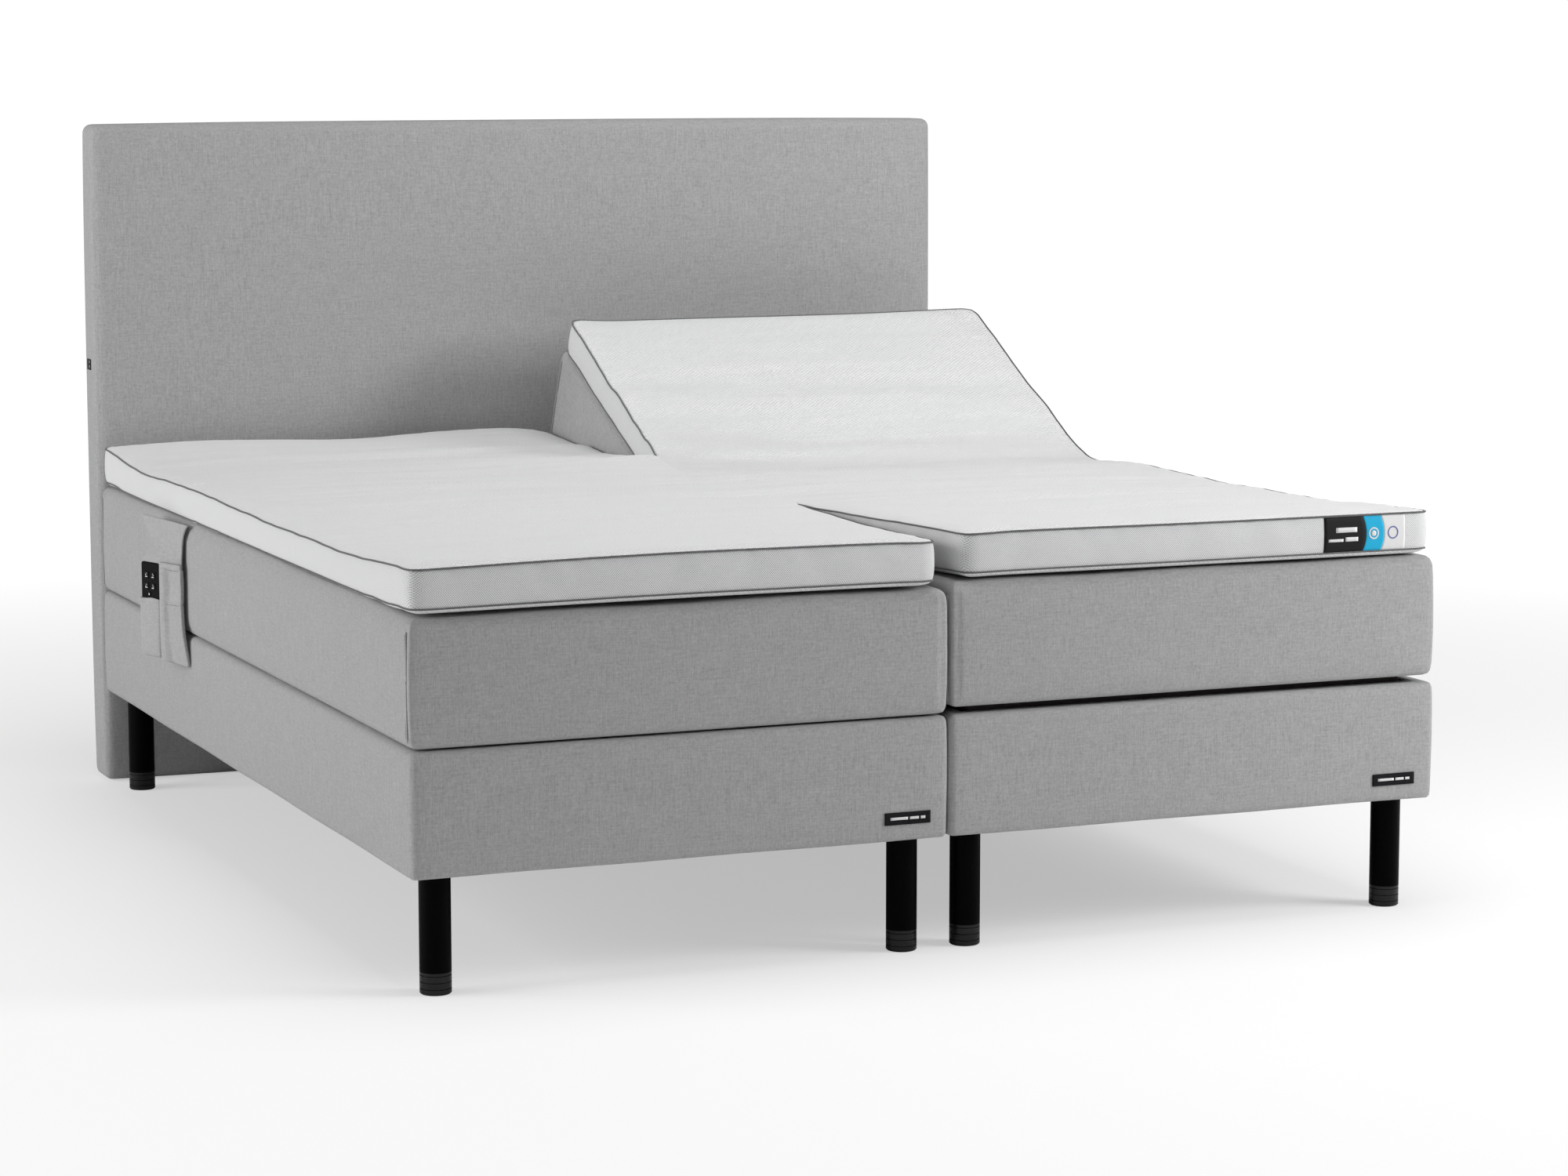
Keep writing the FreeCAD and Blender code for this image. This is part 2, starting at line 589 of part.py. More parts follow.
def remote_middle():
    """How far along the caddy the remote's middle is."""
    return (POUCH_FROM + CADDY_WIDE) / 2


def key_block(name, slack):
    """A key, or with slack its pocket in the case. The light key is a small diamond."""
    along, z = KEY_PLACES[name]
    size = LIGHT_KEY_SIZE if name == "light" else KEY_SIZE
    half = size / 2 + slack
    depth = (POUCH_WALL + 0.5 - 1.2, POUCH_WALL + 0.5 + 2.0) if not slack else (0, POUCH_WALL + 0.5 + 3.0)
    middle = remote_middle() + along
    shape = caddy_block((middle - half, middle + half), depth, (z - half, z + half))
    if name == "light":
        shape.rotate(V(-CADDY_OUT, CADDY_Y + middle, z), V(1, 0, 0), 45)
    elif not slack:
        shape = shape.makeFillet(1.5, [e for e in shape.Edges if e.Length < 3.5])
    return shape


def remote_case(side):
    """The remote's case, with a pocket for each key."""
    half = REMOTE_WIDE / 2
    front = POUCH_WALL + 0.5
    middle = remote_middle()
    case = caddy_block((middle - half, middle + half), (front, front + REMOTE_THICK), (REMOTE_LOW, REMOTE_TOP))
    case = case.makeFillet(4.0, case.Edges)
    for name in KEY_PLACES:
        case = case.cut(key_block(name, 0.4))
    return caddy_place([case], side, BACK_AT_REST[side])


def build():
    """Make every sub-part."""
    os.makedirs("parts", exist_ok=True)
    headboard()
    usb_sockets()
    headboard_brackets()
    dust_covers()
    legs()
    woven_tags()
    drive_motors()
    control_box()
    topper_centre()
    for name, side in SIDES.items():
        base_upholstery(name, side)
        base_box(name, side)
        seat_frame(name, side)
        save(name + "_seat_deck", [deck(side, (FOOT_HINGE_Y + DECK_GAP, BACK_HINGE_Y - DECK_GAP))])
        save(name + "_seat_pad", [pad(side, HEAD_SIDE_OF_FOOT_HINGE, FOOT_SIDE_OF_BACK_HINGE)])
        drive_housing(name, side)

        back = BACK_AT_REST[side]
        moving_frame(name + "_back_frame", side, BACK_HINGE_Y, 1, HEAD_Y - 45, back, BACK_MAX)
        panel = deck(side, (BACK_HINGE_Y + DECK_GAP, HEAD_Y - 38))
        save(name + "_back_deck", turned([panel], BACK_HINGE_Y, back))
        cushion = pad(side, HEAD_SIDE_OF_BACK_HINGE, HEAD_Y)
        save(name + "_back_pad", turned([cushion], BACK_HINGE_Y, back))
        flap = topper_flap(side, HEAD_SIDE_OF_BACK_HINGE, HEAD_Y - TOPPER_FROM_HEAD)
        save(name + "_topper_head", turned([flap], BACK_HINGE_Y, back))
        pusher(name + "_back_pusher", side, BACK_HINGE_Y, 1, back, BACK_MAX)

        foot = FOOT_AT_REST[side]
        moving_frame(name + "_foot_frame", side, FOOT_HINGE_Y, -1, FOOT_Y + 45, foot, FOOT_MAX)
        panel = deck(side, (FOOT_Y + 38, FOOT_HINGE_Y - DECK_GAP))
        save(name + "_foot_deck", turned([panel], FOOT_HINGE_Y, -foot))
        cushion = pad(side, FOOT_Y, FOOT_SIDE_OF_FOOT_HINGE)
        save(name + "_foot_pad", turned([cushion], FOOT_HINGE_Y, -foot))
        flap = topper_flap(side, FOOT_Y, FOOT_SIDE_OF_FOOT_HINGE)
        save(name + "_topper_foot", turned([flap], FOOT_HINGE_Y, -foot))
        pusher(name + "_foot_pusher", side, FOOT_HINGE_Y, -1, foot, FOOT_MAX)

        save(name + "_remote_caddy", remote_caddy(side))
        save(name + "_remote_case", remote_case(side))
        for key in KEY_PLACES:
            solids = caddy_place([key_block(key, 0)], side, BACK_AT_REST[side])
            save(name + "_key_" + key, solids)


build()
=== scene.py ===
import json
import math

import bmesh
import bpy
import numpy as np
from mathutils import Matrix, Vector


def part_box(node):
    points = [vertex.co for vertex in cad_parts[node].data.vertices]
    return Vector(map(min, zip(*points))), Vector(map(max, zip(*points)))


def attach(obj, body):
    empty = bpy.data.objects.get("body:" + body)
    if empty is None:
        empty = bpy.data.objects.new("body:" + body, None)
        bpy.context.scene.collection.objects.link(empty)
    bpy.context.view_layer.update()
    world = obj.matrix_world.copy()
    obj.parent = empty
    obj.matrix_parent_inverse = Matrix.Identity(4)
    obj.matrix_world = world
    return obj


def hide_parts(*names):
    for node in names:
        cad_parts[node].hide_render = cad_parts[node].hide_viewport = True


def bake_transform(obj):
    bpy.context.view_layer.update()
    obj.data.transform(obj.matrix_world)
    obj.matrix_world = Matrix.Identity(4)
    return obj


# A double adjustable bed: two upholstered bases with mattresses that lift at the head and at the
# foot, and one topper over both, slit at the head and foot so that each half moves by itself.
# Distances are metres. "out" is a distance from the centre line, and side is -1 left, +1 right.
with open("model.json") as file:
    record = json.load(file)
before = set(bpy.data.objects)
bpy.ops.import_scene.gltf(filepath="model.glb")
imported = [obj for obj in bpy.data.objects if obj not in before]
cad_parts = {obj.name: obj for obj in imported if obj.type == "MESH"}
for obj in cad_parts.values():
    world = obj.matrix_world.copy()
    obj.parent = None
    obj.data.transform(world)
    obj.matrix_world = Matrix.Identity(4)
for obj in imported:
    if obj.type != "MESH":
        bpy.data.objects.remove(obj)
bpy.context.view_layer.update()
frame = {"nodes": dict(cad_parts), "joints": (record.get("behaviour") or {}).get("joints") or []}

SIDES = {"left": -1, "right": 1}
JOINTS = {joint["name"]: joint for joint in frame["joints"]}
BACK_HINGE = Vector(JOINTS["left_back_raise"]["pos_m"])
FOOT_HINGE = Vector(JOINTS["left_foot_raise"]["pos_m"])
HINGE_Z = BACK_HINGE.z
FOOT_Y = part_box("left_base_box")[0].y - 0.014
HEAD_Y = FOOT_Y + 2.0
BACK_AT_REST = {-1: 0.0, 1: math.radians(24.0)}
FOOT_AT_REST = {-1: 0.0, 1: math.radians(0.8)}
SETTLE_FRAMES = 20
SLIT_HEAD = 1.297
SLIT_FOOT = 0.631
CENTRE_CUTS = (0.782, 1.03)
PAD_CUT = 0.98


# ---- camera and light --------------------------------------------------------------------------

CAMERA_PLACE = (-2.7068, -6.8468, 1.4514)
CAMERA_LENS = 92.9
CAMERA_DOWN = math.radians(7.65)
CAMERA_TURN = math.radians(22.70)
WHITE = (1, 1, 1, 1)
BACKDROP_STRENGTH = 1.05
FADE = (1.2, 4.5)
FLOOR_REACH = 40.0
SKY = 0.206
KEY = 116.0
FILL = 216.0
TOP = 62.0


def make_camera():
    data = bpy.data.cameras.new("camera")
    data.sensor_width = 36.0
    data.lens = CAMERA_LENS
    data.clip_end = 100.0
    camera = bpy.data.objects.new("camera", data)
    camera.location = CAMERA_PLACE
    camera.rotation_euler = (math.pi / 2 - CAMERA_DOWN, 0, -CAMERA_TURN)
    bpy.context.scene.collection.objects.link(camera)
    bpy.context.scene.camera = camera


def area_light(name, place, aim, size, power):
    data = bpy.data.lights.new(name, "AREA")
    data.shape = "RECTANGLE"
    data.size, data.size_y = size
    data.energy = power
    light = bpy.data.objects.new(name, data)
    light.location = place
    light.rotation_euler = (Vector(aim) - Vector(place)).to_track_quat("-Z", "Y").to_euler()
    bpy.context.scene.collection.objects.link(light)


def floor_finish():
    """A pale floor that fades into the white surroundings away from the bed."""
    material, board, shader = new_material("floor", 0.9)
    shader.inputs["Base Color"].default_value = (0.92, 0.92, 0.92, 1)
    shader.inputs["Specular IOR Level"].default_value = 0.0
    away = board.vector("LENGTH", place_of(board, None))
    share = board.ramp(away, *FADE, 0.45, 1.0)
    seen = board.add("ShaderNodeLightPath").outputs["Is Camera Ray"]
    white = board.add("ShaderNodeEmission", {"Color": WHITE, "Strength": BACKDROP_STRENGTH})
    faded = board.math("MULTIPLY", share, seen)
    both = board.add("ShaderNodeMixShader", {0: faded, 1: shader, 2: white})
    board.set(material.node_tree.nodes["Material Output"], "Surface", both)
    return material


def make_studio():
    world = bpy.data.worlds.new("studio")
    world.use_nodes = True
    board = Board(world.node_tree)
    sky = world.node_tree.nodes["Background"]
    backdrop = board.add("ShaderNodeBackground", {"Color": WHITE, "Strength": BACKDROP_STRENGTH})
    seen = board.add("ShaderNodeLightPath").outputs["Is Camera Ray"]
    both = board.add("ShaderNodeMixShader", {0: seen, 1: sky, 2: backdrop})
    board.set(world.node_tree.nodes["World Output"], "Surface", both)
    sky.inputs["Color"].default_value = WHITE
    sky.inputs["Strength"].default_value = SKY
    bpy.context.scene.world = world
    bpy.context.scene.view_settings.view_transform = "Standard"
    area_light("key", (3.3, -2.6, 2.1), (0, 0.3, 0.6), (1.6, 1.6), KEY)
    area_light("fill_left", (-6.0, 0.5, 2.0), (0, 0, 0.5), (4.0, 3.0), FILL)
    area_light("top", (0.2, -0.9, 4.0), (0.2, -0.9, 0), (3.0, 2.6), TOP)
    floor = bpy.data.meshes.new("floor")
    ways = ((-1, -1), (1, -1), (1, 1), (-1, 1))
    corners = [(x * FLOOR_REACH, y * FLOOR_REACH, 0) for x, y in ways]
    floor.from_pydata(corners, [], [(0, 1, 2, 3)])
    floor_piece = bpy.data.objects.new("floor", floor)
    bpy.context.scene.collection.objects.link(floor_piece)
    floor.materials.append(floor_finish())


# ---- shader groups and materials ---------------------------------------------------------------

def shader_group(name, inputs, outputs):
    """An empty shader node group with named inputs, given as (name, type, value), and outputs."""
    group = bpy.data.node_groups.new(name, "ShaderNodeTree")
    for label, kind, value in inputs:
        socket = group.interface.new_socket(label, in_out="INPUT", socket_type="NodeSocket" + kind)
        if value is not None:
            socket.default_value = value
    for label, kind in outputs:
        group.interface.new_socket(label, in_out="OUTPUT", socket_type="NodeSocket" + kind)
    return Board(group)


class Board:
    """Adds nodes to a tree and joins them up."""

    def __init__(self, tree):
        self.tree = tree

    def add(self, kind, joins=None, **settings):
        node = self.tree.nodes.new(kind)
        for key, value in settings.items():
            setattr(node, key, value)
        for key, value in (joins or {}).items():
            self.set(node, key, value)
        return node

    def set(self, node, key, value):
        socket = node.inputs[key]
        if isinstance(value, bpy.types.NodeSocket):
            self.tree.links.new(value, socket)
        elif isinstance(value, bpy.types.Node):
            self.tree.links.new(value.outputs[0], socket)
        else:
            socket.default_value = value

    def math(self, operation, *values):
        kind = "ShaderNodeMath"
        return self.add(kind, dict(enumerate(values)), operation=operation).outputs[0]

    def vector(self, operation, *values):
        node = self.add("ShaderNodeVectorMath", None, operation=operation)
        for index, value in enumerate(values):
            self.set(node, "Scale" if operation == "SCALE" and index == 1 else index, value)
        return node.outputs["Value" if operation in ("DOT_PRODUCT", "LENGTH") else "Vector"]

    def noise(self, place, scale, detail=3.0, rough=0.5):
        joins = {"Vector": place, "Scale": scale, "Detail": detail, "Roughness": rough}
        return self.add("ShaderNodeTexNoise", joins).outputs[0]

    def ramp(self, value, low, high, to_low=0.0, to_high=1.0):
        joins = {"Value": value, "From Min": low, "From Max": high, "To Min": to_low, "To Max": to_high}
        return self.add("ShaderNodeMapRange", joins).outputs[0]


def make_groups():
    """The effects that several materials share."""
    weave = shader_group("woven_threads", [
        ("Place", "Vector", None), ("Thread", "Float", 0.0012), ("Slub", "Float", 0.5),
    ], [("Shade", "Float"), ("Height", "Float")])
    given = weave.add("NodeGroupInput")
    made = weave.add("NodeGroupOutput")
    long_up = weave.vector("MULTIPLY", given.outputs["Place"], (620.0, 620.0, 38.0))
    long_across = weave.vector("MULTIPLY", given.outputs["Place"], (38.0, 38.0, 620.0))
    cloud = weave.noise(given.outputs["Place"], 210.0, 4.0, 0.7)
    up = weave.noise(long_up, 1.0, 1.0)
    across = weave.noise(long_across, 1.0, 1.0)
    slubs = weave.math("ADD", weave.math("MULTIPLY", up, 0.6), weave.math("MULTIPLY", across, 0.4))
    share = weave.math("SUBTRACT", 1.0, given.outputs["Slub"])
    mixed = weave.math("ADD", weave.math("MULTIPLY", slubs, given.outputs["Slub"]),
                       weave.math("MULTIPLY", cloud, share))
    weave.set(made, "Shade", mixed)
    pitch = weave.math("DIVIDE", 6.2832, given.outputs["Thread"])
    parts = weave.add("ShaderNodeSeparateXYZ", {0: given.outputs["Place"]})
    along = weave.math("MULTIPLY", weave.math("ADD", parts.outputs[0], parts.outputs[1]), pitch)
    upward = weave.math("MULTIPLY", weave.math("ADD", parts.outputs[2], parts.outputs[1]), pitch)
    threads = weave.math("MULTIPLY", weave.math("SINE", along), weave.math("SINE", upward))
    height = weave.math("ADD", weave.math("MULTIPLY", threads, 0.25), mixed)
    weave.set(made, "Height", height)

    mesh = shader_group("diamond_cells", [
        ("Place", "Vector", None), ("Pitch", "Float", 0.003),
    ], [("Cell", "Float")])
    given = mesh.add("NodeGroupInput")
    made = mesh.add("NodeGroupOutput")
    parts = mesh.add("ShaderNodeSeparateXYZ", {0: given.outputs["Place"]})
    along = mesh.math("ADD", parts.outputs[0], parts.outputs[1])
    rate = mesh.math("DIVIDE", 3.1416, given.outputs["Pitch"])
    first = mesh.math("MULTIPLY", mesh.math("ADD", along, parts.outputs[2]), rate)
    second = mesh.math("MULTIPLY", mesh.math("SUBTRACT", along, parts.outputs[2]), rate)
    cell = mesh.math("MULTIPLY", mesh.math("SINE", first), mesh.math("SINE", second))
    mesh.set(made, "Cell", mesh.math("ABSOLUTE", cell))

    speck = shader_group("fine_grain", [
        ("Place", "Vector", None), ("Scale", "Float", 300.0), ("Stretch", "Vector", (1.0, 1.0, 1.0)),
    ], [("Grain", "Float")])
    given = speck.add("NodeGroupInput")
    made = speck.add("NodeGroupOutput")
    place = speck.vector("MULTIPLY", given.outputs["Place"], given.outputs["Stretch"])
    grain = speck.noise(place, given.outputs["Scale"], 4.0, 0.6)
    speck.set(made, "Grain", grain)
    return {"weave": weave.tree, "cells": mesh.tree, "grain": speck.tree}


def new_material(name, rough=0.8, metal=0.0, **values):
    """A material with its Principled shader, and the place that its patterns read."""
    material = bpy.data.materials.new(name)
    material.use_nodes = True
    board = Board(material.node_tree)
    shader = material.node_tree.nodes["Principled BSDF"]
    shader.inputs["Roughness"].default_value = rough
    shader.inputs["Metallic"].default_value = metal
    for key, value in values.items():
        shader.inputs[key.replace("_", " ")].default_value = value
    return material, board, shader


def place_of(board, attribute):
    if attribute:
        return board.add("ShaderNodeAttribute", None, attribute_name=attribute).outputs["Vector"]
    return board.add("ShaderNodeTexCoord").outputs["Object"]


def use_group(board, key, **joins):
    node = board.add("ShaderNodeGroup", None, node_tree=GROUPS[key])
    for name, value in joins.items():
        board.set(node, name, value)
    return node


def shade_between(board, shader, value, dark, light):
    """Base colour from dark to light as value goes from 0 to 1."""
    mix = board.add("ShaderNodeMix", {0: value}, data_type="RGBA")
    mix.inputs[6].default_value = (*dark, 1)
    mix.inputs[7].default_value = (*light, 1)
    board.set(shader, "Base Color", mix.outputs[2])
    return mix.outputs[2]


def bump(board, shader, height, distance, strength=1.0):
    node = board.add("ShaderNodeBump", {"Height": height, "Distance": distance, "Strength": strength})
    board.set(shader, "Normal", node.outputs[0])


def woven(name, dark, light, attribute="weave_at", thread=0.0012, slub=0.5, depth=0.0005, sheen=0.15):
    material, board, shader = new_material(name, 0.95, Sheen_Weight=sheen, Sheen_Roughness=0.6)
    shader.inputs["Specular IOR Level"].default_value = 0.15
    weave = use_group(board, "weave", Place=place_of(board, attribute), Thread=thread, Slub=slub)
    value = board.ramp(weave.outputs["Shade"], 0.34, 0.66)
    shade_between(board, shader, value, dark, light)
    bump(board, shader, weave.outputs["Height"], depth)
    return material


def quilted_knit():
    """White knit cover with a fine slanting stitch."""
    material, board, shader = new_material("white_knit", 0.9, Sheen_Weight=0.1, Sheen_Roughness=0.5)
    shader.inputs["Specular IOR Level"].default_value = 0.12
    place = place_of(board, "weave_at")
    parts = board.add("ShaderNodeSeparateXYZ", {0: place})
    x, y = parts.outputs[0], parts.outputs[1]
    drift = board.math("MULTIPLY", board.noise(place, 9.0, 2.0), 0.02)
    slant = board.math("ADD", board.math("MULTIPLY", x, 0.55), board.math("ADD", y, drift))
    other = board.math("SUBTRACT", board.math("MULTIPLY", x, 0.8), y)
    ridge = board.math("SINE", board.math("MULTIPLY", slant, 6.2832 / 0.0062))
    purl = board.math("SINE", board.math("MULTIPLY", other, 6.2832 / 0.0070))
    knit = board.math("MULTIPLY", board.math("ADD", ridge, 1.0), board.math("ADD", purl, 1.0))
    fuzz = board.noise(place, 700.0, 2.0)
    ruck = board.noise(board.vector("MULTIPLY", place, (3.0, 26.0, 3.0)), 1.0, 3.0)
    height = board.math("ADD", board.math("MULTIPLY", knit, 0.35), board.math("MULTIPLY", fuzz, 0.3))
    height = board.math("ADD", height, board.math("MULTIPLY", ruck, 5.0))
    shade = board.math("ADD", board.math("MULTIPLY", knit, 0.30), board.math("MULTIPLY", fuzz, 0.16))
    shade_between(board, shader, shade, (0.72, 0.722, 0.726), (0.985, 0.985, 0.986))
    bump(board, shader, height, 0.0012)
    return material


def mesh_band():
    """The airy spacer fabric round the topper's edge."""
    material, board, shader = new_material("spacer_mesh", 0.9)
    shader.inputs["Specular IOR Level"].default_value = 0.12
    cells = use_group(board, "cells", Place=place_of(board, "weave_at"), Pitch=0.0036)
    value = board.ramp(cells.outputs["Cell"], 0.25, 0.75)
    shade_between(board, shader, value, (0.83, 0.832, 0.835), (0.45, 0.453, 0.457))
    bump(board, shader, board.math("SUBTRACT", 1.0, cells.outputs["Cell"]), 0.0006, 0.8)
    return material


def grained(name, dark, light, rough, scale=300.0, stretch=(1, 1, 1), depth=0.0002, metal=0.0,
            low=0.3, high=0.7, **values):
    """A moulded, painted, sawn or metal surface with a fine grain."""
    material, board, shader = new_material(name, rough, metal, **values)
    grain = use_group(board, "grain", Place=place_of(board, None), Scale=scale, Stretch=stretch)
    value = board.ramp(grain.outputs["Grain"], low, high)
    shade_between(board, shader, value, dark, light)
    roughness = board.ramp(grain.outputs["Grain"], 0.2, 0.8, rough * 0.85, min(1, rough * 1.15))
    board.set(shader, "Roughness", roughness)
    bump(board, shader, grain.outputs["Grain"], depth)
    return material


def sawn(name, dark, light, ring, stretch):
    """Timber with long grain lines."""
    material, board, shader = new_material(name, 0.6)
    place = board.vector("MULTIPLY", place_of(board, None), stretch)
    warp = board.noise(place, 3.0, 3.0)
    lines = board.math("SINE", board.math("MULTIPLY", warp, ring))
    fine = use_group(board, "grain", Place=place, Scale=120.0)
    value = board.math("ADD", board.math("MULTIPLY", board.ramp(lines, -1.0, 1.0), 0.6),
                       board.math("MULTIPLY", fine.outputs["Grain"], 0.4))
    shade_between(board, shader, value, dark, light)
    bump(board, shader, value, 0.0003)
    return material


def plain(name, colour, rough=0.6, **values):
    """Small printed or sewn marks, with a faint thread grain."""
    dark = tuple(c * 0.86 for c in colour)
    return grained(name, dark, colour, rough, 900.0, depth=0.0001, Specular_IOR_Level=0.15, **values)


def make_finishes():
    """Every finish by the name of its slot, and those that only the small marks and threads use."""
    return {
        "grey_weave": woven("grey_weave", (0.312, 0.314, 0.312), (0.478, 0.480, 0.478)),
        "caddy_weave": woven("caddy_weave", (0.345, 0.348, 0.346), (0.49, 0.493, 0.49)),
        "white_knit": quilted_knit(),
        "spacer_mesh": mesh_band(),
        "grey_piping": woven(
            "grey_piping", (0.11, 0.112, 0.114), (0.2, 0.202, 0.205), thread=0.0008),
        "softwood": sawn("softwood", (0.50, 0.34, 0.18), (0.74, 0.58, 0.38), 60.0, (9.0, 1.2, 9.0)),
        "plywood": sawn(
            "plywood", (0.018, 0.014, 0.012), (0.045, 0.036, 0.030), 34.0, (5.0, 0.9, 30.0)),
        "nonwoven": grained("nonwoven", (0.012, 0.012, 0.013), (0.035, 0.035, 0.038), 0.9, 420.0),
        "tag_weave": woven(
            "tag_weave", (0.008, 0.008, 0.009), (0.016, 0.016, 0.018), None, 0.0008,
            depth=0.0002, sheen=0.0),
        "black_lacquer": grained(
            "black_lacquer", (0.0006, 0.0006, 0.0007), (0.0012, 0.0012, 0.0013), 0.4, 160.0,
            depth=0.00005, Specular_IOR_Level=0.035),
        "black_plastic": grained(
            "black_plastic", (0.002, 0.002, 0.0022), (0.004, 0.004, 0.0042), 0.3, 900.0,
            depth=0.00008, Specular_IOR_Level=0.35),
        "zinc_steel": grained(
            "zinc_steel", (0.46, 0.47, 0.48), (0.62, 0.63, 0.64), 0.35, 120.0, metal=1.0),
        "powder_coat": grained(
            "powder_coat", (0.018, 0.018, 0.019), (0.032, 0.032, 0.034), 0.5, 1400.0),
        "drive_plastic": grained(
            "drive_plastic", (0.02, 0.021, 0.022), (0.035, 0.036, 0.038), 0.55, 900.0),
        "motor_metal": grained(
            "motor_metal", (0.20, 0.20, 0.21), (0.33, 0.33, 0.34), 0.4, 500.0, metal=0.9),
        "pusher_nylon": grained(
            "pusher_nylon", (0.62, 0.62, 0.58), (0.74, 0.74, 0.70), 0.5, 200.0),
        "socket_plastic": grained(
            "socket_plastic", (0.006, 0.006, 0.007), (0.014, 0.014, 0.015), 0.45, 800.0),
        "remote_plastic": grained(
            "remote_plastic", (0.0015, 0.0015, 0.0017), (0.003, 0.003, 0.0033), 0.45, 1200.0,
            depth=0.00004, Specular_IOR_Level=0.08),
        "key_rubber": grained(
            "key_rubber", (0.003, 0.003, 0.0035), (0.006, 0.006, 0.0065), 0.6, 1500.0,
            depth=0.00006, Specular_IOR_Level=0.15),
        "mark_white": plain("mark_white", (0.78, 0.78, 0.78)),
        "mark_cyan": plain("mark_cyan", (0.02, 0.44, 0.72)),
        "mark_black": plain("mark_black", (0.012, 0.012, 0.013)),
        "mark_violet": plain("mark_violet", (0.16, 0.17, 0.42)),
        "thread_grey": plain("thread_grey", (0.24, 0.242, 0.24)),
    }


# ---- building meshes ---------------------------------------------------------------------------

def make_piece(name, points, faces, materials, face_finish=None, smooth=True, woven_at=None):
    """A mesh piece in place. woven_at gives each point's place on the flat cloth."""
    mesh = bpy.data.meshes.new(name)
    mesh.from_pydata([tuple(p) for p in points], [], faces)
    for material in materials:
        mesh.materials.append(FINISH[material])
    if face_finish is not None:
        mesh.polygons.foreach_set("material_index", np.array(face_finish, np.int32))
    mesh.polygons.foreach_set("use_smooth", np.full(len(mesh.polygons), smooth))
    place = points if woven_at is None else woven_at
    spread = mesh.attributes.new("weave_at", "FLOAT_VECTOR", "POINT")
    spread.data.foreach_set("vector", np.asarray(place, np.float32).ravel())
    mesh.update()
    piece = bpy.data.objects.new(name, mesh)
    bpy.context.scene.collection.objects.link(piece)
    return piece


def merged(parts):
    """The points and faces of several parts as one list of each."""
    points, faces = [], []
    for more, more_faces in parts:
        faces.extend([tuple(v + len(points) for v in face) for face in more_faces])
        points.extend(more)
    return points, faces


def tidy_mesh(piece, weld=0.0, fill=False):
    """Weld, close and face a piece's mesh outwards."""
    work = bmesh.new()
    work.from_mesh(piece.data)
    if weld:
        bmesh.ops.remove_doubles(work, verts=work.verts, dist=weld)
    if fill:
        open_edges = [e for e in work.edges if e.is_boundary]
        made = bmesh.ops.holes_fill(work, edges=open_edges, sides=0)
        for face in made["faces"]:
            for edge in face.edges:
                edge.smooth = False
        for edge in open_edges:
            edge.smooth = False
    for edge in work.edges:
        if max(abs(v.co.x) for v in edge.verts) < 1e-6 and len(edge.link_faces) == 2:
            walls = [max(abs(v.co.x) for v in face.verts) < 1e-6 for face in edge.link_faces]
            if walls[0] != walls[1]:
                edge.smooth = False
    bmesh.ops.recalc_face_normals(work, faces=work.faces)
    work.to_mesh(piece.data)
    work.free()


def smoothstep(t):
    t = np.clip(t, 0.0, 1.0)
    return t * t * (3 - 2 * t)


def rolled(points, hinge, angle):
    """Points turned about a hinge line along X by an angle for each point."""
    y = points[:, 1] - hinge.y
    z = points[:, 2] - hinge.z
    c, s = np.cos(angle), np.sin(angle)
    return np.stack([points[:, 0], hinge.y + y * c - z * s, hinge.z + y * s + z * c], 1)


def back_zone(side):
    """Where the bending starts and ends at the back hinge, at rest."""
    if side < 0:
        return BACK_HINGE - Vector((0, 0.262, 0)), BACK_HINGE + Vector((0, 0.262, 0))
    half = BACK_AT_REST[side] / 2
    reach = 0.215 * Vector((0, math.cos(half), math.sin(half)))
    return BACK_HINGE - reach, BACK_HINGE + reach


def foot_zone():
    """Where the bending starts and ends at the foot hinge, at rest."""
    return FOOT_HINGE + Vector((0, 0.14, 0)), FOOT_HINGE - Vector((0, 0.14, 0))


def zone_weight(points, zone):
    start = np.array(zone[0])
    reach = np.array(zone[1]) - start
    return smoothstep(((points - start) @ reach) / (reach @ reach))


def bent(points, side, end):
    """Flat points moved to where the half lies at rest, bending over its hinge."""
    if end == "head":
        zone, hinge, angle = back_zone(side), BACK_HINGE, BACK_AT_REST[side]
    else:
        zone, hinge, angle = foot_zone(), FOOT_HINGE, -FOOT_AT_REST[side]
    place = points.copy()
    if angle:
        for _ in range(60):
            place = rolled(points, hinge, angle * zone_weight(place, zone))
    return place


def blend_half(piece):
    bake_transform(piece)


def spaced(low, high, step, keep=(), fine=()):
    """Values from low to high about step apart, with those in keep among them."""
    marks = sorted({low, high, *[k for k in keep if low < k < high]})
    values = []
    for a, b in zip(marks, marks[1:]):
        count = max(1, int(round((b - a) / step)))
        values.extend(a + (b - a) * i / count for i in range(count))
    values.append(high)
    for middle, reach, gap in fine:
        values = [v for v in values if abs(v - middle) > reach]
        count = int(round(2 * reach / gap))
        values.extend(middle - reach + 2 * reach * i / count for i in range(count + 1))
    return np.array(sorted({round(v, 6) for v in values}))


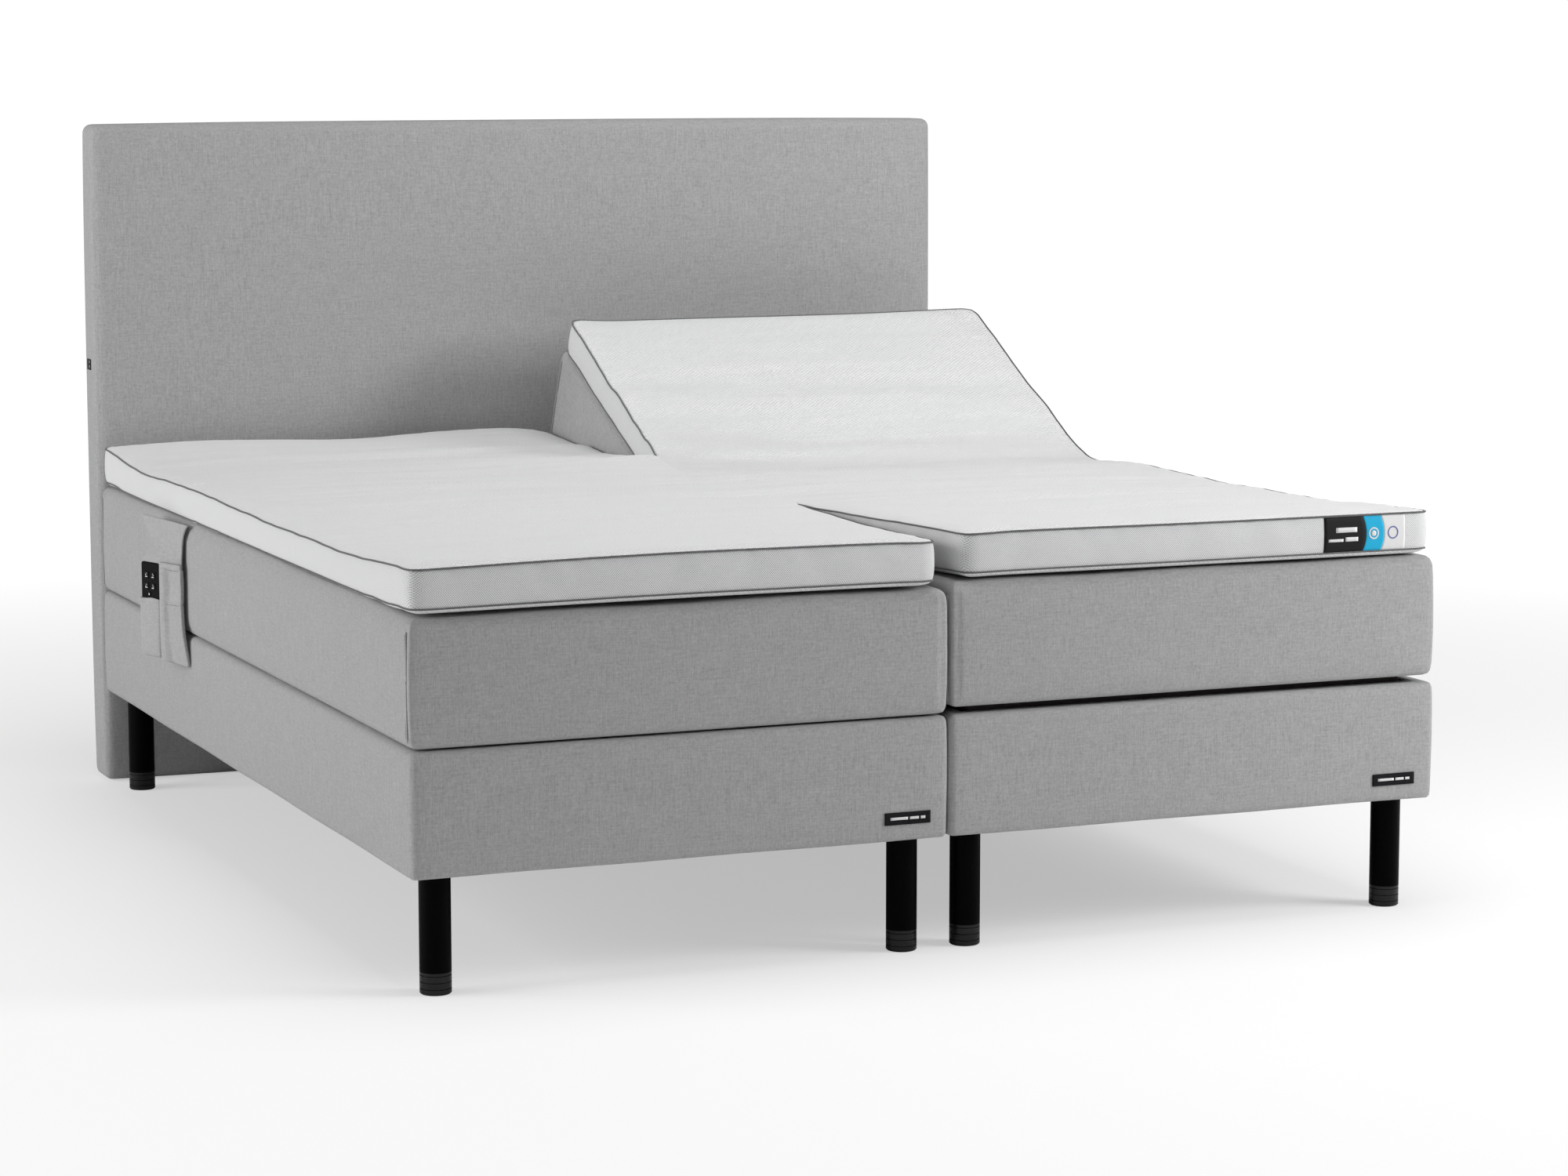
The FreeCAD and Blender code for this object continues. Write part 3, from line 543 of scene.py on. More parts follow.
class Slab:
    """A long soft slab with a shaped rim, made flat, in (out, y from the foot, z)."""

    def __init__(self, inner, outer, ends, rim, inset, step=0.024, keep=(), fine=(), joined=None,
                 corner=9, square=0.3):
        rows = spaced(ends[0] + inset, ends[1] - inset, step, keep, fine)
        share = np.linspace(0, 1, int(round((outer - inset) / step)) + 1)
        open_share = joined(rows) if joined else np.ones(len(rows))
        first = np.array([inner(y) for y in rows]) * open_share + inset * open_share
        out = first[:, None] + (outer - inset - first)[:, None] * share[None, :]
        m, n = len(rows), len(share)
        grid = np.stack([out, np.repeat(rows[:, None], n, 1)], 2).reshape(-1, 2)
        entries = []
        turn = np.linspace(0, math.pi / 2, corner)[1:-1]

        def fan(index, start):
            for a in turn:
                push = max(abs(math.cos(start + a)), abs(math.sin(start + a))) ** -square
                entries.append((index, (math.cos(start + a) * push, math.sin(start + a) * push)))

        entries += [(i, (0, -1)) for i in range(n)]
        fan(n - 1, -math.pi / 2)
        entries += [(j * n + n - 1, (1, 0)) for j in range(m)]
        fan(m * n - 1, 0)
        entries += [((m - 1) * n + i, (0, 1)) for i in reversed(range(n))]
        fan((m - 1) * n, math.pi / 2)
        entries += [(j * n, (-open_share[j], 0)) for j in reversed(range(m))]
        fan(0, math.pi)
        loop = np.array([e[0] for e in entries])
        normal = np.array([e[1] for e in entries], float)
        self.loop, self.normal = loop, normal
        plan = [grid]
        height = [np.full(len(grid), rim[0][1])]
        for offset, z in rim[1:-1]:
            plan.append(grid[loop] + normal * offset)
            height.append(np.full(len(loop), z))
        plan.append(grid)
        height.append(np.full(len(grid), rim[-1][1]))
        self.flat = np.concatenate([np.concatenate(plan), np.concatenate(height)[:, None]], 1)
        self.bottom_start = len(grid) + (len(rim) - 2) * len(loop)
        faces, band = [], []
        for j in range(m - 1):
            for i in range(n - 1):
                a = j * n + i
                faces.append((a, a + 1, a + n + 1, a + n))
                band.append(0)
                b = a + self.bottom_start
                faces.append((b, b + n, b + n + 1, b + 1))
                band.append(len(rim) - 2)
        size = len(loop)

        def ring(k, e):
            if k == 0:
                return loop[e]
            if k == len(rim) - 1:
                return self.bottom_start + loop[e]
            return len(grid) + (k - 1) * size + e

        for k in range(len(rim) - 1):
            for e in range(size):
                f = (e + 1) % size
                corner_points = [ring(k, e), ring(k + 1, e), ring(k + 1, f), ring(k, f)]
                unique = list(dict.fromkeys(int(v) for v in corner_points))
                if len(unique) > 2:
                    faces.append(tuple(unique))
                    band.append(k)
        self.faces, self.band = faces, band

    def ring_path(self, offset, z):
        """The points of a line round the rim, as (out, y, z)."""
        place = self.flat[self.loop, :2] + self.normal * offset
        return np.concatenate([place, np.full((len(place), 1), z)], 1)


def filled_out(points, faces, held, cap):
    """Where a padded skin's points settle under the pressure of its filling, moved at most cap."""
    scene = bpy.context.scene
    mesh = bpy.data.meshes.new("filled_out")
    mesh.from_pydata([tuple(p) for p in points], [], faces)
    skin = bpy.data.objects.new("filled_out", mesh)
    scene.collection.objects.link(skin)
    pins = skin.vertex_groups.new(name="held")
    pins.add([int(i) for i in np.flatnonzero(held)], 1.0, "REPLACE")
    cloth = skin.modifiers.new("filling", "CLOTH")
    cloth.settings.quality = 5
    cloth.settings.mass = 0.3
    cloth.settings.tension_stiffness = 20.0
    cloth.settings.compression_stiffness = 20.0
    cloth.settings.shear_stiffness = 8.0
    cloth.settings.bending_stiffness = 0.8
    cloth.settings.shrink_min = -0.004
    cloth.settings.use_pressure = True
    cloth.settings.uniform_pressure_force = 4.0
    cloth.settings.effector_weights.gravity = 0.0
    cloth.settings.vertex_group_mass = "held"
    cloth.point_cache.frame_start = 1
    cloth.point_cache.frame_end = SETTLE_FRAMES
    scene.frame_start, scene.frame_end = 1, SETTLE_FRAMES
    for frame_number in range(1, SETTLE_FRAMES + 1):
        scene.frame_set(frame_number)
    settled = skin.evaluated_get(bpy.context.evaluated_depsgraph_get())
    place = np.zeros(len(points) * 3)
    settled.to_mesh().vertices.foreach_get("co", place)
    settled.to_mesh_clear()
    scene.frame_set(1)
    skin.modifiers.clear()
    bpy.data.objects.remove(skin)
    bpy.data.meshes.remove(mesh)
    move = np.nan_to_num(place.reshape(-1, 3) - points)
    length = np.linalg.norm(move, axis=1)[:, None] + 1e-9
    return points + move / length * cap * np.tanh(length / cap)


def placed(points, side):
    """(out, y from the foot, z) points in the row frame."""
    return np.stack([points[:, 0] * side, points[:, 1] + FOOT_Y, points[:, 2]], 1)


def section(points, faces, band, low, high):
    """The part of a mesh whose faces lie between two distances from the foot."""
    middle = np.array([points[list(f), 1].mean() for f in faces])
    chosen = [i for i in range(len(faces)) if low < middle[i] < high]
    used = sorted({v for i in chosen for v in faces[i]})
    where = {v: i for i, v in enumerate(used)}
    return used, [tuple(where[v] for v in faces[i]) for i in chosen], [band[i] for i in chosen]


# ---- topper ------------------------------------------------------------------------------------

TOPPER_INSET = 0.030
TOPPER_RIM = [
    (0.0, 0.6660), (0.012, 0.6657), (0.021, 0.6648), (0.0275, 0.6636), (0.0300, 0.6615),
    (0.0312, 0.6570), (0.0322, 0.6480), (0.0328, 0.6360), (0.0328, 0.6240), (0.0320, 0.6130),
    (0.0305, 0.6055), (0.0292, 0.6025), (0.0240, 0.5985), (0.0140, 0.5952), (0.0, 0.5945),
]
TOPPER_BANDS = (4, 10)
TOPPER_STRETCHES = (("foot", -1, CENTRE_CUTS[0]), ("centre", *CENTRE_CUTS), ("head", CENTRE_CUTS[1], 3))
TOPPER_PIPING = ((0.0312, 0.6622), (0.0308, 0.6040))
TOPPER_OUTER = {-1: 0.9, 1: 0.886}
TOPPER_FILL = 0.0025
PIPING = 0.0016

SIDE_EDGE = (
    [-0.1, 0.15, 0.213, 0.314, 0.401, 0.554, 0.743, 0.886,
     1.082, 1.201, 1.306, 1.408, 1.537, 1.67, 1.794, 1.928, 2.1],
    [8, 0, -7, -8, -8, -6, -9, -6, -5, -1, -4, -3, -8, -11, -3, 7, 8],
)
FOOT_EDGE = (
    [-0.9, -0.8, -0.42, -0.15, -0.048, 0.007, 0.051, 0.4, 0.86],
    [7, 10, 12, 10, 8, 4, 9, 7, 7],
)
HEAD_EDGE = (
    [-0.9, -0.74, -0.588, -0.404, -0.278, -0.153, -0.056, 0.05, 0.9],
    [4, 14, 10, 3, 11, 17, 17, 3, 3],
)


def edge_at(edge, value):
    """A smooth line through the edge's heights, in metres."""
    places = np.array(edge[0])
    heights = np.array(edge[1]) / 1000.0
    near = [np.interp(value + shift, places, heights) for shift in (-0.06, -0.03, 0.0, 0.03, 0.06)]
    return sum(near) / len(near)


def topper_lift(x, y):
    """How far the topper's upper face stands above flat: raised corners, low sides, cross waves."""
    side = np.exp(-((0.9 - np.abs(x)) / 0.2) ** 2)
    foot = np.exp(-(y / 0.25) ** 2)
    head = np.exp(-((1.975 - y) / 0.22) ** 2)
    lift = edge_at(SIDE_EDGE, y) * side * (1 - 0.5 * foot)
    lift += edge_at(FOOT_EDGE, x) * foot * (1 - 0.5 * side)
    lift += edge_at(HEAD_EDGE, x) * head * (1 - 0.5 * side)
    inside = 1 - np.maximum(side, np.maximum(foot, head)) * 0.8
    wave = 2.4 * np.sin(y * 31.0 + 2.0 * np.sin(x * 2.6) + 0.6) + 1.7 * np.sin(y * 53.0 + x * 3.1 + 1.5)
    wave += 1.1 * np.sin(y * 87.0 - x * 4.0) + 1.0 * np.sin(x * 9.0 + y * 6.0)
    slit = np.exp(-(x / 0.13) ** 2) * smoothstep((0.72 - y) / 0.1)
    step = 0.0035 * np.sin(math.pi * np.clip(y / 0.66, 0, 1)) * np.clip(x / 0.02, -1, 1)
    return lift + inside * wave * (1 - 0.85 * slit) / 1000.0 + step * slit


def filled_topper(slab, points, faces, side):
    """The topper half's skin filled out between its piping lines, but not over the centre line."""
    height = slab.flat[:, 2]
    edge = np.zeros(len(points), bool)
    for _, z in TOPPER_PIPING:
        edge |= np.abs(height - z) < 0.0022
    centre = np.abs(points[:, 0]) < 1e-6
    low = height < 0.5990
    settled = filled_out(points, faces, edge | centre | low, TOPPER_FILL)
    away = np.clip(np.abs(points[:, 0]) / 0.12, 0, 1)
    y = slab.flat[:, 1]
    own = np.maximum(smoothstep((SLIT_FOOT - 0.04 - y) / 0.06), smoothstep((y - 1.40) / 0.06))
    share = np.maximum(smoothstep(away), own)
    if side > 0:
        by_label = np.clip((0.12 - np.abs(points[:, 0] - 0.76)) / 0.03, 0, 1)
        share = share * (1 - smoothstep(by_label) * smoothstep((0.06 - y) / 0.03))
    return points + (settled - points) * share[:, None]


def topper_slit(y):
    """Half the gap between the two halves of the topper, at y from the foot."""
    opening = np.interp(y, [0.0, SLIT_FOOT], [0.024, 0.0015])
    return 0.00075 if y > 1.0 else opening


def slit_share(side):
    """How far each row's inner edge is its own rim, from 0 where the halves are one piece."""
    def share(rows):
        foot = smoothstep((SLIT_FOOT - rows) / 0.020)
        flat = np.stack([np.zeros(len(rows)), rows + FOOT_Y, np.full(len(rows), 0.664)], 1)
        at_rest = bent(flat, side, "head")[:, 1] - FOOT_Y
        head = smoothstep((at_rest - SLIT_HEAD) / 0.024)
        return np.maximum(foot, np.where(rows > 1.0, head, 0.0))
    return share


def half_topper(side):
    slit_row = SLIT_HEAD
    if BACK_AT_REST[side]:
        rows = np.linspace(1.2, 1.5, 600)
        flat = np.stack([np.zeros(600), rows + FOOT_Y, np.full(600, 0.664)], 1)
        slit_row = float(np.interp(SLIT_HEAD, bent(flat, side, "head")[:, 1] - FOOT_Y, rows))
    fine = ((SLIT_FOOT - 0.010, 0.016, 0.003), (slit_row + 0.012, 0.018, 0.003))
    return Slab(topper_slit, TOPPER_OUTER[side], (0.0, 1.975), TOPPER_RIM, TOPPER_INSET, 0.022,
                CENTRE_CUTS, fine, slit_share(side))


def shaped_topper(flat, side):
    """The flat slab's points with its waves: the underside keeps flatter than the upper face."""
    points = placed(flat, side)
    upper = np.clip((flat[:, 2] - 0.5945) / 0.0715, 0, 1)
    lift = topper_lift(points[:, 0], flat[:, 1])
    low = 0.35 * lift + 0.0012 * np.sin(flat[:, 1] * 41.0)
    points[:, 2] += lift * upper + np.maximum(low, -0.0005) * (1 - upper)
    return points


def seam_offset(y_rest):
    """Half the height between the flat left half and the bent right half, over the centre line."""
    rows = np.linspace(0.9, 1.7, 800)
    flat = np.stack([np.zeros(800), rows, np.full(800, 0.666)], 1)
    right = bent(shaped_topper(flat, 1), 1, "head")
    left_z = np.interp(y_rest, rows, shaped_topper(flat, -1)[:, 2])
    right_z = np.interp(y_rest, right[:, 1] - FOOT_Y, right[:, 2])
    fade = smoothstep((y_rest - 1.03) / 0.08) * (1 - smoothstep((y_rest - SLIT_HEAD) / 0.05))
    return 0.5 * (right_z - left_z) * fade


def joined_at_rest(points, side):
    """Bring both halves together over the centre line, with the fabric pulled up at the slit's end."""
    y = points[:, 1] - FOOT_Y
    away = np.abs(points[:, 0])
    near = 0.5 * (1 + np.cos(math.pi * np.clip(away / 0.17, 0, 1)))
    top = np.clip((points[:, 2] - 0.58) / 0.08, 0, 1)
    points[:, 2] -= side * seam_offset(y) * near * top
    pull = np.exp(-((y - SLIT_HEAD) / 0.11) ** 2) * np.exp(-(away / 0.22) ** 2)
    fade = smoothstep((y - 1.03) / 0.1)
    points[:, 2] += 0.014 * pull * fade
    return points


def to_rest(points, side, end):
    if end == "head":
        return joined_at_rest(bent(points, side, "head"), side)
    return bent(points, side, "foot")


def make_topper():
    centre = {}
    for name, side in SIDES.items():
        slab = half_topper(side)
        points = shaped_topper(slab.flat, side)
        flat = placed(slab.flat, side)
        order = 1 if side > 0 else -1
        faces = [f[::order] for f in slab.faces]
        points = filled_topper(slab, points, faces, side)
        finish = [1 if TOPPER_BANDS[0] <= b < TOPPER_BANDS[1] else 0 for b in slab.band]
        for end, low, high in (("foot", -1, CENTRE_CUTS[0]), ("head", CENTRE_CUTS[1], 3)):
            used, kept, bands = section(slab.flat, faces, finish, low, high)
            rest = to_rest(points[used], side, end)
            piece = make_piece(name + "_topper_cover_" + end, rest, kept, ["white_knit", "spacer_mesh"],
                               bands, woven_at=flat[used])
            tidy_mesh(piece, fill=True)
            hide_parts(name + "_topper_" + end)
            blend_half(piece)
        centre[side] = (points, flat, *section(slab.flat, faces, finish, *CENTRE_CUTS))
        make_topper_piping(name, side, slab)
    points, flats, faces, bands = [], [], [], []
    start = 0
    for side in (-1, 1):
        place, flat, used, kept, finish = centre[side]
        for face, band in zip(kept, finish):
            if all(abs(place[used[v], 0]) < 1e-6 for v in face):
                continue
            faces.append(tuple(v + start for v in face))
            bands.append(band)
        points.append(place[used])
        flats.append(flat[used])
        start += len(used)
    piece = make_piece("topper_cover_centre", np.concatenate(points), faces,
                       ["white_knit", "spacer_mesh"], bands, woven_at=np.concatenate(flats))
    tidy_mesh(piece, weld=1e-5, fill=True)
    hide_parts("topper_centre")
    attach(piece, "root")


def tube_along(path, radius, sides=6, closed=False):
    """Points and faces of a thin tube along a path, with closed ends."""
    path = np.asarray(path, float)
    ahead = np.roll(path, -1, 0) - path
    behind = path - np.roll(path, 1, 0)
    if not closed:
        ahead[-1], behind[0] = behind[-1], ahead[0]
    along = ahead + behind
    along /= np.linalg.norm(along, axis=1)[:, None] + 1e-12
    up = np.tile(np.array([0.0, 0.0, 1.0]), (len(path), 1))
    across = np.cross(along, up)
    across /= np.linalg.norm(across, axis=1)[:, None] + 1e-12
    up = np.cross(across, along)
    points = []
    for s in range(sides):
        a = 2 * math.pi * s / sides
        points.append(path + radius * (math.cos(a) * across + math.sin(a) * up))
    points = np.stack(points, 1).reshape(-1, 3)
    faces = []
    count = len(path)
    for i in range(count if closed else count - 1):
        j = (i + 1) % count
        for s in range(sides):
            t = (s + 1) % sides
            faces.append((i * sides + s, i * sides + t, j * sides + t, j * sides + s))
    if not closed:
        faces.append(tuple(reversed(range(sides))))
        faces.append(tuple((count - 1) * sides + s for s in range(sides)))
    return points, faces


def runs_of(mask):
    """Runs of neighbouring true values in a ring, as lists of places."""
    size = len(mask)
    if mask.all():
        return [list(range(size))]
    start = int(np.argmin(mask))
    runs, run = [], []
    for step in range(size + 1):
        i = (start + step) % size
        if mask[i] and step < size:
            run.append(i)
        elif run:
            runs.append(run)
            run = []
    return runs


def make_topper_piping(name, side, slab):
    """Grey piping along the topper's upper and lower edges."""
    made = {"foot": ([], [], []), "head": ([], [], []), "centre": ([], [], [])}
    for offset, z in TOPPER_PIPING:
        ring = slab.ring_path(offset, z)
        own_rim = np.abs(slab.normal).sum(1) > 0.6
        for end, low, high in TOPPER_STRETCHES:
            inside = (ring[:, 1] >= low - 1e-6) & (ring[:, 1] <= high + 1e-6) & own_rim
            for run in runs_of(inside):
                if len(run) < 2:
                    continue
                path = shaped_topper(ring[run], side)
                if end != "centre":
                    path = to_rest(path, side, end)
                points, faces = tube_along(path, PIPING)
                spread = np.repeat(placed(ring[run], side), 6, 0)
                spread[:, 2] += np.tile(np.arange(6) * 0.0016, len(run))
                store = made[end]
                start = sum(len(p) for p in store[0])
                store[0].append(points)
                store[1].extend(tuple(v + start for v in f) for f in faces)
                store[2].append(spread)
    for end, (points, faces, spread) in made.items():
        if not points:
            continue
        piece = make_piece(name + "_topper_piping_" + end, np.concatenate(points), faces,
                           ["grey_piping"], woven_at=np.concatenate(spread))
        tidy_mesh(piece)
        if end == "centre":
            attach(piece, "root")
        else:
            blend_half(piece)


# ---- mattresses --------------------------------------------------------------------------------

PAD_INSET = 0.024
PAD_RIM = [
    (0.0, 0.5928), (0.0090, 0.5926), (0.0150, 0.5910), (0.0195, 0.5872), (0.0223, 0.5815),
    (0.0236, 0.5740), (0.0240, 0.5600), (0.0244, 0.5250), (0.0246, 0.4950), (0.0246, 0.4650),
    (0.0244, 0.4400), (0.0240, 0.4200), (0.0235, 0.4090), (0.0222, 0.4000), (0.0190, 0.3940),
    (0.0120, 0.3910), (0.0, 0.3905),
]
PAD_INNER = 0.003
PAD_OUTER = {-1: 0.9, 1: 0.8965}
SEAM_THICK = 0.0011
PAD_FILL = 0.0018


def shaped_pad(flat, side):
    points = placed(flat, side)
    x, y, z = points[:, 0], flat[:, 1], flat[:, 2]
    soft = np.clip((z - 0.40) / 0.19, 0, 1)
    points[:, 2] += soft * 0.001 * (np.sin(y * 11.0 + x * 2.0) + np.sin(x * 17.0 + y * 3.0))
    middle = np.sin(math.pi * np.clip((z - 0.39) / 0.202, 0, 1))
    swell = 0.0012 * middle * (np.sin(y * 7.0 + 1.0) + 0.6 * np.sin(y * 19.0))
    at_side = np.clip((flat[:, 0] - 0.85) / 0.03, 0, 1)
    points[:, 0] += side * swell * at_side
    at_foot = np.clip((0.03 - y) / 0.03, 0, 1)
    points[:, 1] -= 0.0012 * middle * np.sin(x * 9.0 + 0.5) * at_foot
    return points


def make_mattresses():
    for name, side in SIDES.items():
        slab = Slab(lambda y: PAD_INNER, PAD_OUTER[side], (0.0, 2.0), PAD_RIM, PAD_INSET, 0.03,
                    (PAD_CUT,), corner=13, square=0.72)
        points = shaped_pad(slab.flat, side)
        flat = placed(slab.flat, side)
        faces = [f[::(1 if side > 0 else -1)] for f in slab.faces]
        held = (slab.flat[:, 2] < 0.395) | (slab.flat[:, 2] > 0.5900) | (slab.flat[:, 0] < 0.02)
        corner = np.minimum(slab.flat[:, 1], 2.0 - slab.flat[:, 1]) + PAD_OUTER[side] - slab.flat[:, 0]
        share = smoothstep((corner - 0.03) / 0.05)[:, None]
        points = points + (filled_out(points, faces, held, PAD_FILL) - points) * share
        for end, low, high in (("foot", -1, PAD_CUT), ("head", PAD_CUT, 3)):
            used, kept, _ = section(slab.flat, faces, slab.band, low, high)
            rest = bent(points[used], side, end)
            piece = make_piece(name + "_mattress_" + end, rest, kept, ["grey_weave"],
                               woven_at=flat[used])
            tidy_mesh(piece, fill=True)
            nodes = [name + "_" + end.replace("head", "back") + "_pad"]
            if end == "foot":
                nodes.append(name + "_seat_pad")
            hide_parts(*nodes)
            blend_half(piece)
            make_corner_seams(name, side, end)


def make_corner_seams(name, side, end):
    """The sewn seam down each corner of a mattress, with its ridge."""
    y = 0.0125 if end == "foot" else 1.9875
    seams = []
    for out in (PAD_INNER, PAD_OUTER[side]):
        away = 1 if out > 0.5 else -1
        path = []
        for z in np.linspace(0.402, 0.572, 24):
            edge = 0.0006 + 0.0008 * math.sin((z - 0.39) / 0.202 * math.pi)
            path.append((out + away * edge, y, z))
        seams.append(tube_along(placed(np.array(path), side), SEAM_THICK))
    points, faces = merged(seams)
    place = bent(np.array(points), side, end)
    piece = make_piece(name + "_mattress_seams_" + end, place, faces, ["grey_weave"])
    tidy_mesh(piece)
    blend_half(piece)


# ---- geometry nodes ----------------------------------------------------------------------------

def geometry_tree(name, inputs):
    """A geometry tree with named inputs. Returns its board, group input and group output."""
    tree = bpy.data.node_groups.new(name, "GeometryNodeTree")
    tree.interface.new_socket("Geometry", in_out="INPUT", socket_type="NodeSocketGeometry")
    for label, kind, value in inputs:
        socket = tree.interface.new_socket(label, in_out="INPUT", socket_type="NodeSocket" + kind)
        if value is not None:
            socket.default_value = value
    tree.interface.new_socket("Geometry", in_out="OUTPUT", socket_type="NodeSocketGeometry")
    board = Board(tree)
    return board, board.add("NodeGroupInput"), board.add("NodeGroupOutput")


def end_tree(board, geometry, given, made):
    """Every tree ends by making its copies real and giving them their finish."""
    real = board.add("GeometryNodeRealizeInstances", {0: geometry})
    joins = {"Geometry": real, "Material": given.outputs["Finish"]}
    board.set(made, "Geometry", board.add("GeometryNodeSetMaterial", joins))


def laid_along(board, given, shape, axis):
    """Copies of a shape at the given pitch along the incoming edges, with one axis along them."""
    curve = board.add("GeometryNodeMeshToCurve", {"Mesh": given.outputs["Geometry"]})
    joins = {"Curve": curve, "Length": given.outputs["Pitch"]}
    dots = board.add("GeometryNodeCurveToPoints", joins, mode="LENGTH")
    turn = board.add("FunctionNodeAlignEulerToVector", {"Vector": dots.outputs["Tangent"]}, axis=axis)
    joins = {"Points": dots.outputs["Points"], "Instance": shape, "Rotation": turn}
    return board.add("GeometryNodeInstanceOnPoints", joins)


def grown(name, tree, points, edges, values):
    """A plain mesh piece made by a geometry tree on a few points, with its inputs set by name."""
    mesh = bpy.data.meshes.new(name + "_start")
    mesh.from_pydata([tuple(p) for p in points], edges, [])
    seed = bpy.data.objects.new(name + "_start", mesh)
    bpy.context.scene.collection.objects.link(seed)
    modifier = seed.modifiers.new("grow", "NODES")
    modifier.node_group = tree
    for item in tree.interface.items_tree:
        if item.in_out == "INPUT" and item.name in values:
            modifier[item.identifier] = values[item.name]
    bpy.context.view_layer.update()
    depsgraph = bpy.context.evaluated_depsgraph_get()
    made = bpy.data.meshes.new_from_object(seed.evaluated_get(depsgraph))
    seed.modifiers.clear()
    bpy.data.objects.remove(seed)
    bpy.data.meshes.remove(mesh)
    made.name = name
    count = len(made.vertices)
    place = np.zeros(count * 3, np.float32)
    made.vertices.foreach_get("co", place)
    if "weave_at" not in made.attributes:
        made.attributes.new("weave_at", "FLOAT_VECTOR", "POINT").data.foreach_set("vector", place)
    piece = bpy.data.objects.new(name, made)
    bpy.context.scene.collection.objects.link(piece)
    return piece


def padded_block_tree():
    """A block of foam and fabric with round edges and slightly crowned faces."""
    board, given, made = geometry_tree("padded_block", [
        ("Half Size", "Vector", (0.5, 0.5, 0.5)), ("Centre", "Vector", (0, 0, 0)),
        ("Radius", "Float", 0.017), ("Crown", "Float", 0.003), ("Finish", "Material", None),
    ])
    cube = board.add("GeometryNodeMeshCube", {"Size": (2.0, 2.0, 2.0)})
    board.set(cube, "Vertices X", 70)
    board.set(cube, "Vertices Y", 18)
    board.set(cube, "Vertices Z", 56)
    place = board.add("GeometryNodeInputPosition").outputs[0]
    size = board.vector("ABSOLUTE", place)
    left = board.vector("SUBTRACT", (1, 1, 1), size)
    squared = board.vector("MULTIPLY", left, left)
    spread = board.vector("SUBTRACT", (1, 1, 1), squared)
    pushed = board.vector("MULTIPLY", spread, board.vector("SIGN", place))
    scaled = board.vector("MULTIPLY", pushed, given.outputs["Half Size"])
    rounding = board.add("ShaderNodeCombineXYZ")
    for index in range(3):
        board.set(rounding, index, given.outputs["Radius"])
    core = board.vector("SUBTRACT", given.outputs["Half Size"], rounding)
    least = board.vector("SCALE", core, -1.0)
    inner = board.vector("MAXIMUM", board.vector("MINIMUM", scaled, core), least)
    away = board.vector("NORMALIZE", board.vector("SUBTRACT", scaled, inner))
    skin = board.vector("SCALE", away, given.outputs["Radius"])
    square = board.vector("MULTIPLY", pushed, pushed)
    fourth = board.vector("MULTIPLY", square, square)
    dome = board.add("ShaderNodeSeparateXYZ", {0: board.vector("SUBTRACT", (1, 1, 1), fourth)})
    x, y, z = dome.outputs
    pairs = enumerate(((y, z), (x, z), (x, y)))
    crown = board.add("ShaderNodeCombineXYZ", {i: board.math("MULTIPLY", a, b) for i, (a, b) in pairs})
    swell = board.vector("SCALE", board.vector("MULTIPLY", crown, pushed), given.outputs["Crown"])
    shape = board.vector("ADD", board.vector("ADD", inner, skin), swell)
    shape = board.vector("ADD", shape, given.outputs["Centre"])
    moved = board.add("GeometryNodeSetPosition", {"Geometry": cube.outputs[0], "Position": shape})
    smooth = board.add("GeometryNodeSetShadeSmooth", {"Geometry": moved})
    end_tree(board, smooth, given, made)
    return board.tree


def stitches_tree():
    """Thread stitches at an even pitch along the edges of a mesh."""
    board, given, made = geometry_tree("stitches", [
        ("Pitch", "Float", 0.005), ("Length", "Float", 0.0034), ("Thick", "Float", 0.0005),
        ("Finish", "Material", None),
    ])
    thread = board.add("GeometryNodeMeshCylinder", {
        "Vertices": 5, "Radius": given.outputs["Thick"], "Depth": given.outputs["Length"]})
    end_tree(board, laid_along(board, given, thread.outputs["Mesh"], "Z"), given, made)
    return board.tree


def screws_tree():
    """Domed screw heads with washers, standing up on points."""
    board, given, made = geometry_tree("screws", [
        ("Radius", "Float", 0.005), ("Turn", "Vector", (0, 0, 0)), ("Finish", "Material", None),
    ])
    washer = board.add("GeometryNodeMeshCylinder", {"Vertices": 24, "Depth": 0.0012})
    board.set(washer, "Radius", board.math("MULTIPLY", given.outputs["Radius"], 1.5))
    head = board.add("GeometryNodeMeshCone", {"Vertices": 18, "Depth": 0.0022, "Side Segments": 2})
    board.set(head, "Radius Bottom", given.outputs["Radius"])
    board.set(head, "Radius Top", board.math("MULTIPLY", given.outputs["Radius"], 0.72))
    socket = board.add("GeometryNodeMeshCylinder", {"Vertices": 6, "Depth": 0.0006})
    board.set(socket, "Radius", board.math("MULTIPLY", given.outputs["Radius"], 0.4))
    socket_up = board.add("GeometryNodeTransform", {"Geometry": socket.outputs["Mesh"],
                                                    "Translation": (0, 0, 0.0024)})
    whole = board.add("GeometryNodeJoinGeometry")
    for part in (washer.outputs["Mesh"], head.outputs["Mesh"], socket_up.outputs[0]):
        board.tree.links.new(part, whole.inputs[0])
    points = board.add("GeometryNodeMeshToPoints", {"Mesh": given.outputs["Geometry"]})
    laid = board.add("GeometryNodeInstanceOnPoints", {"Points": points, "Instance": whole,
                                                      "Rotation": given.outputs["Turn"]})
    end_tree(board, laid, given, made)
    return board.tree


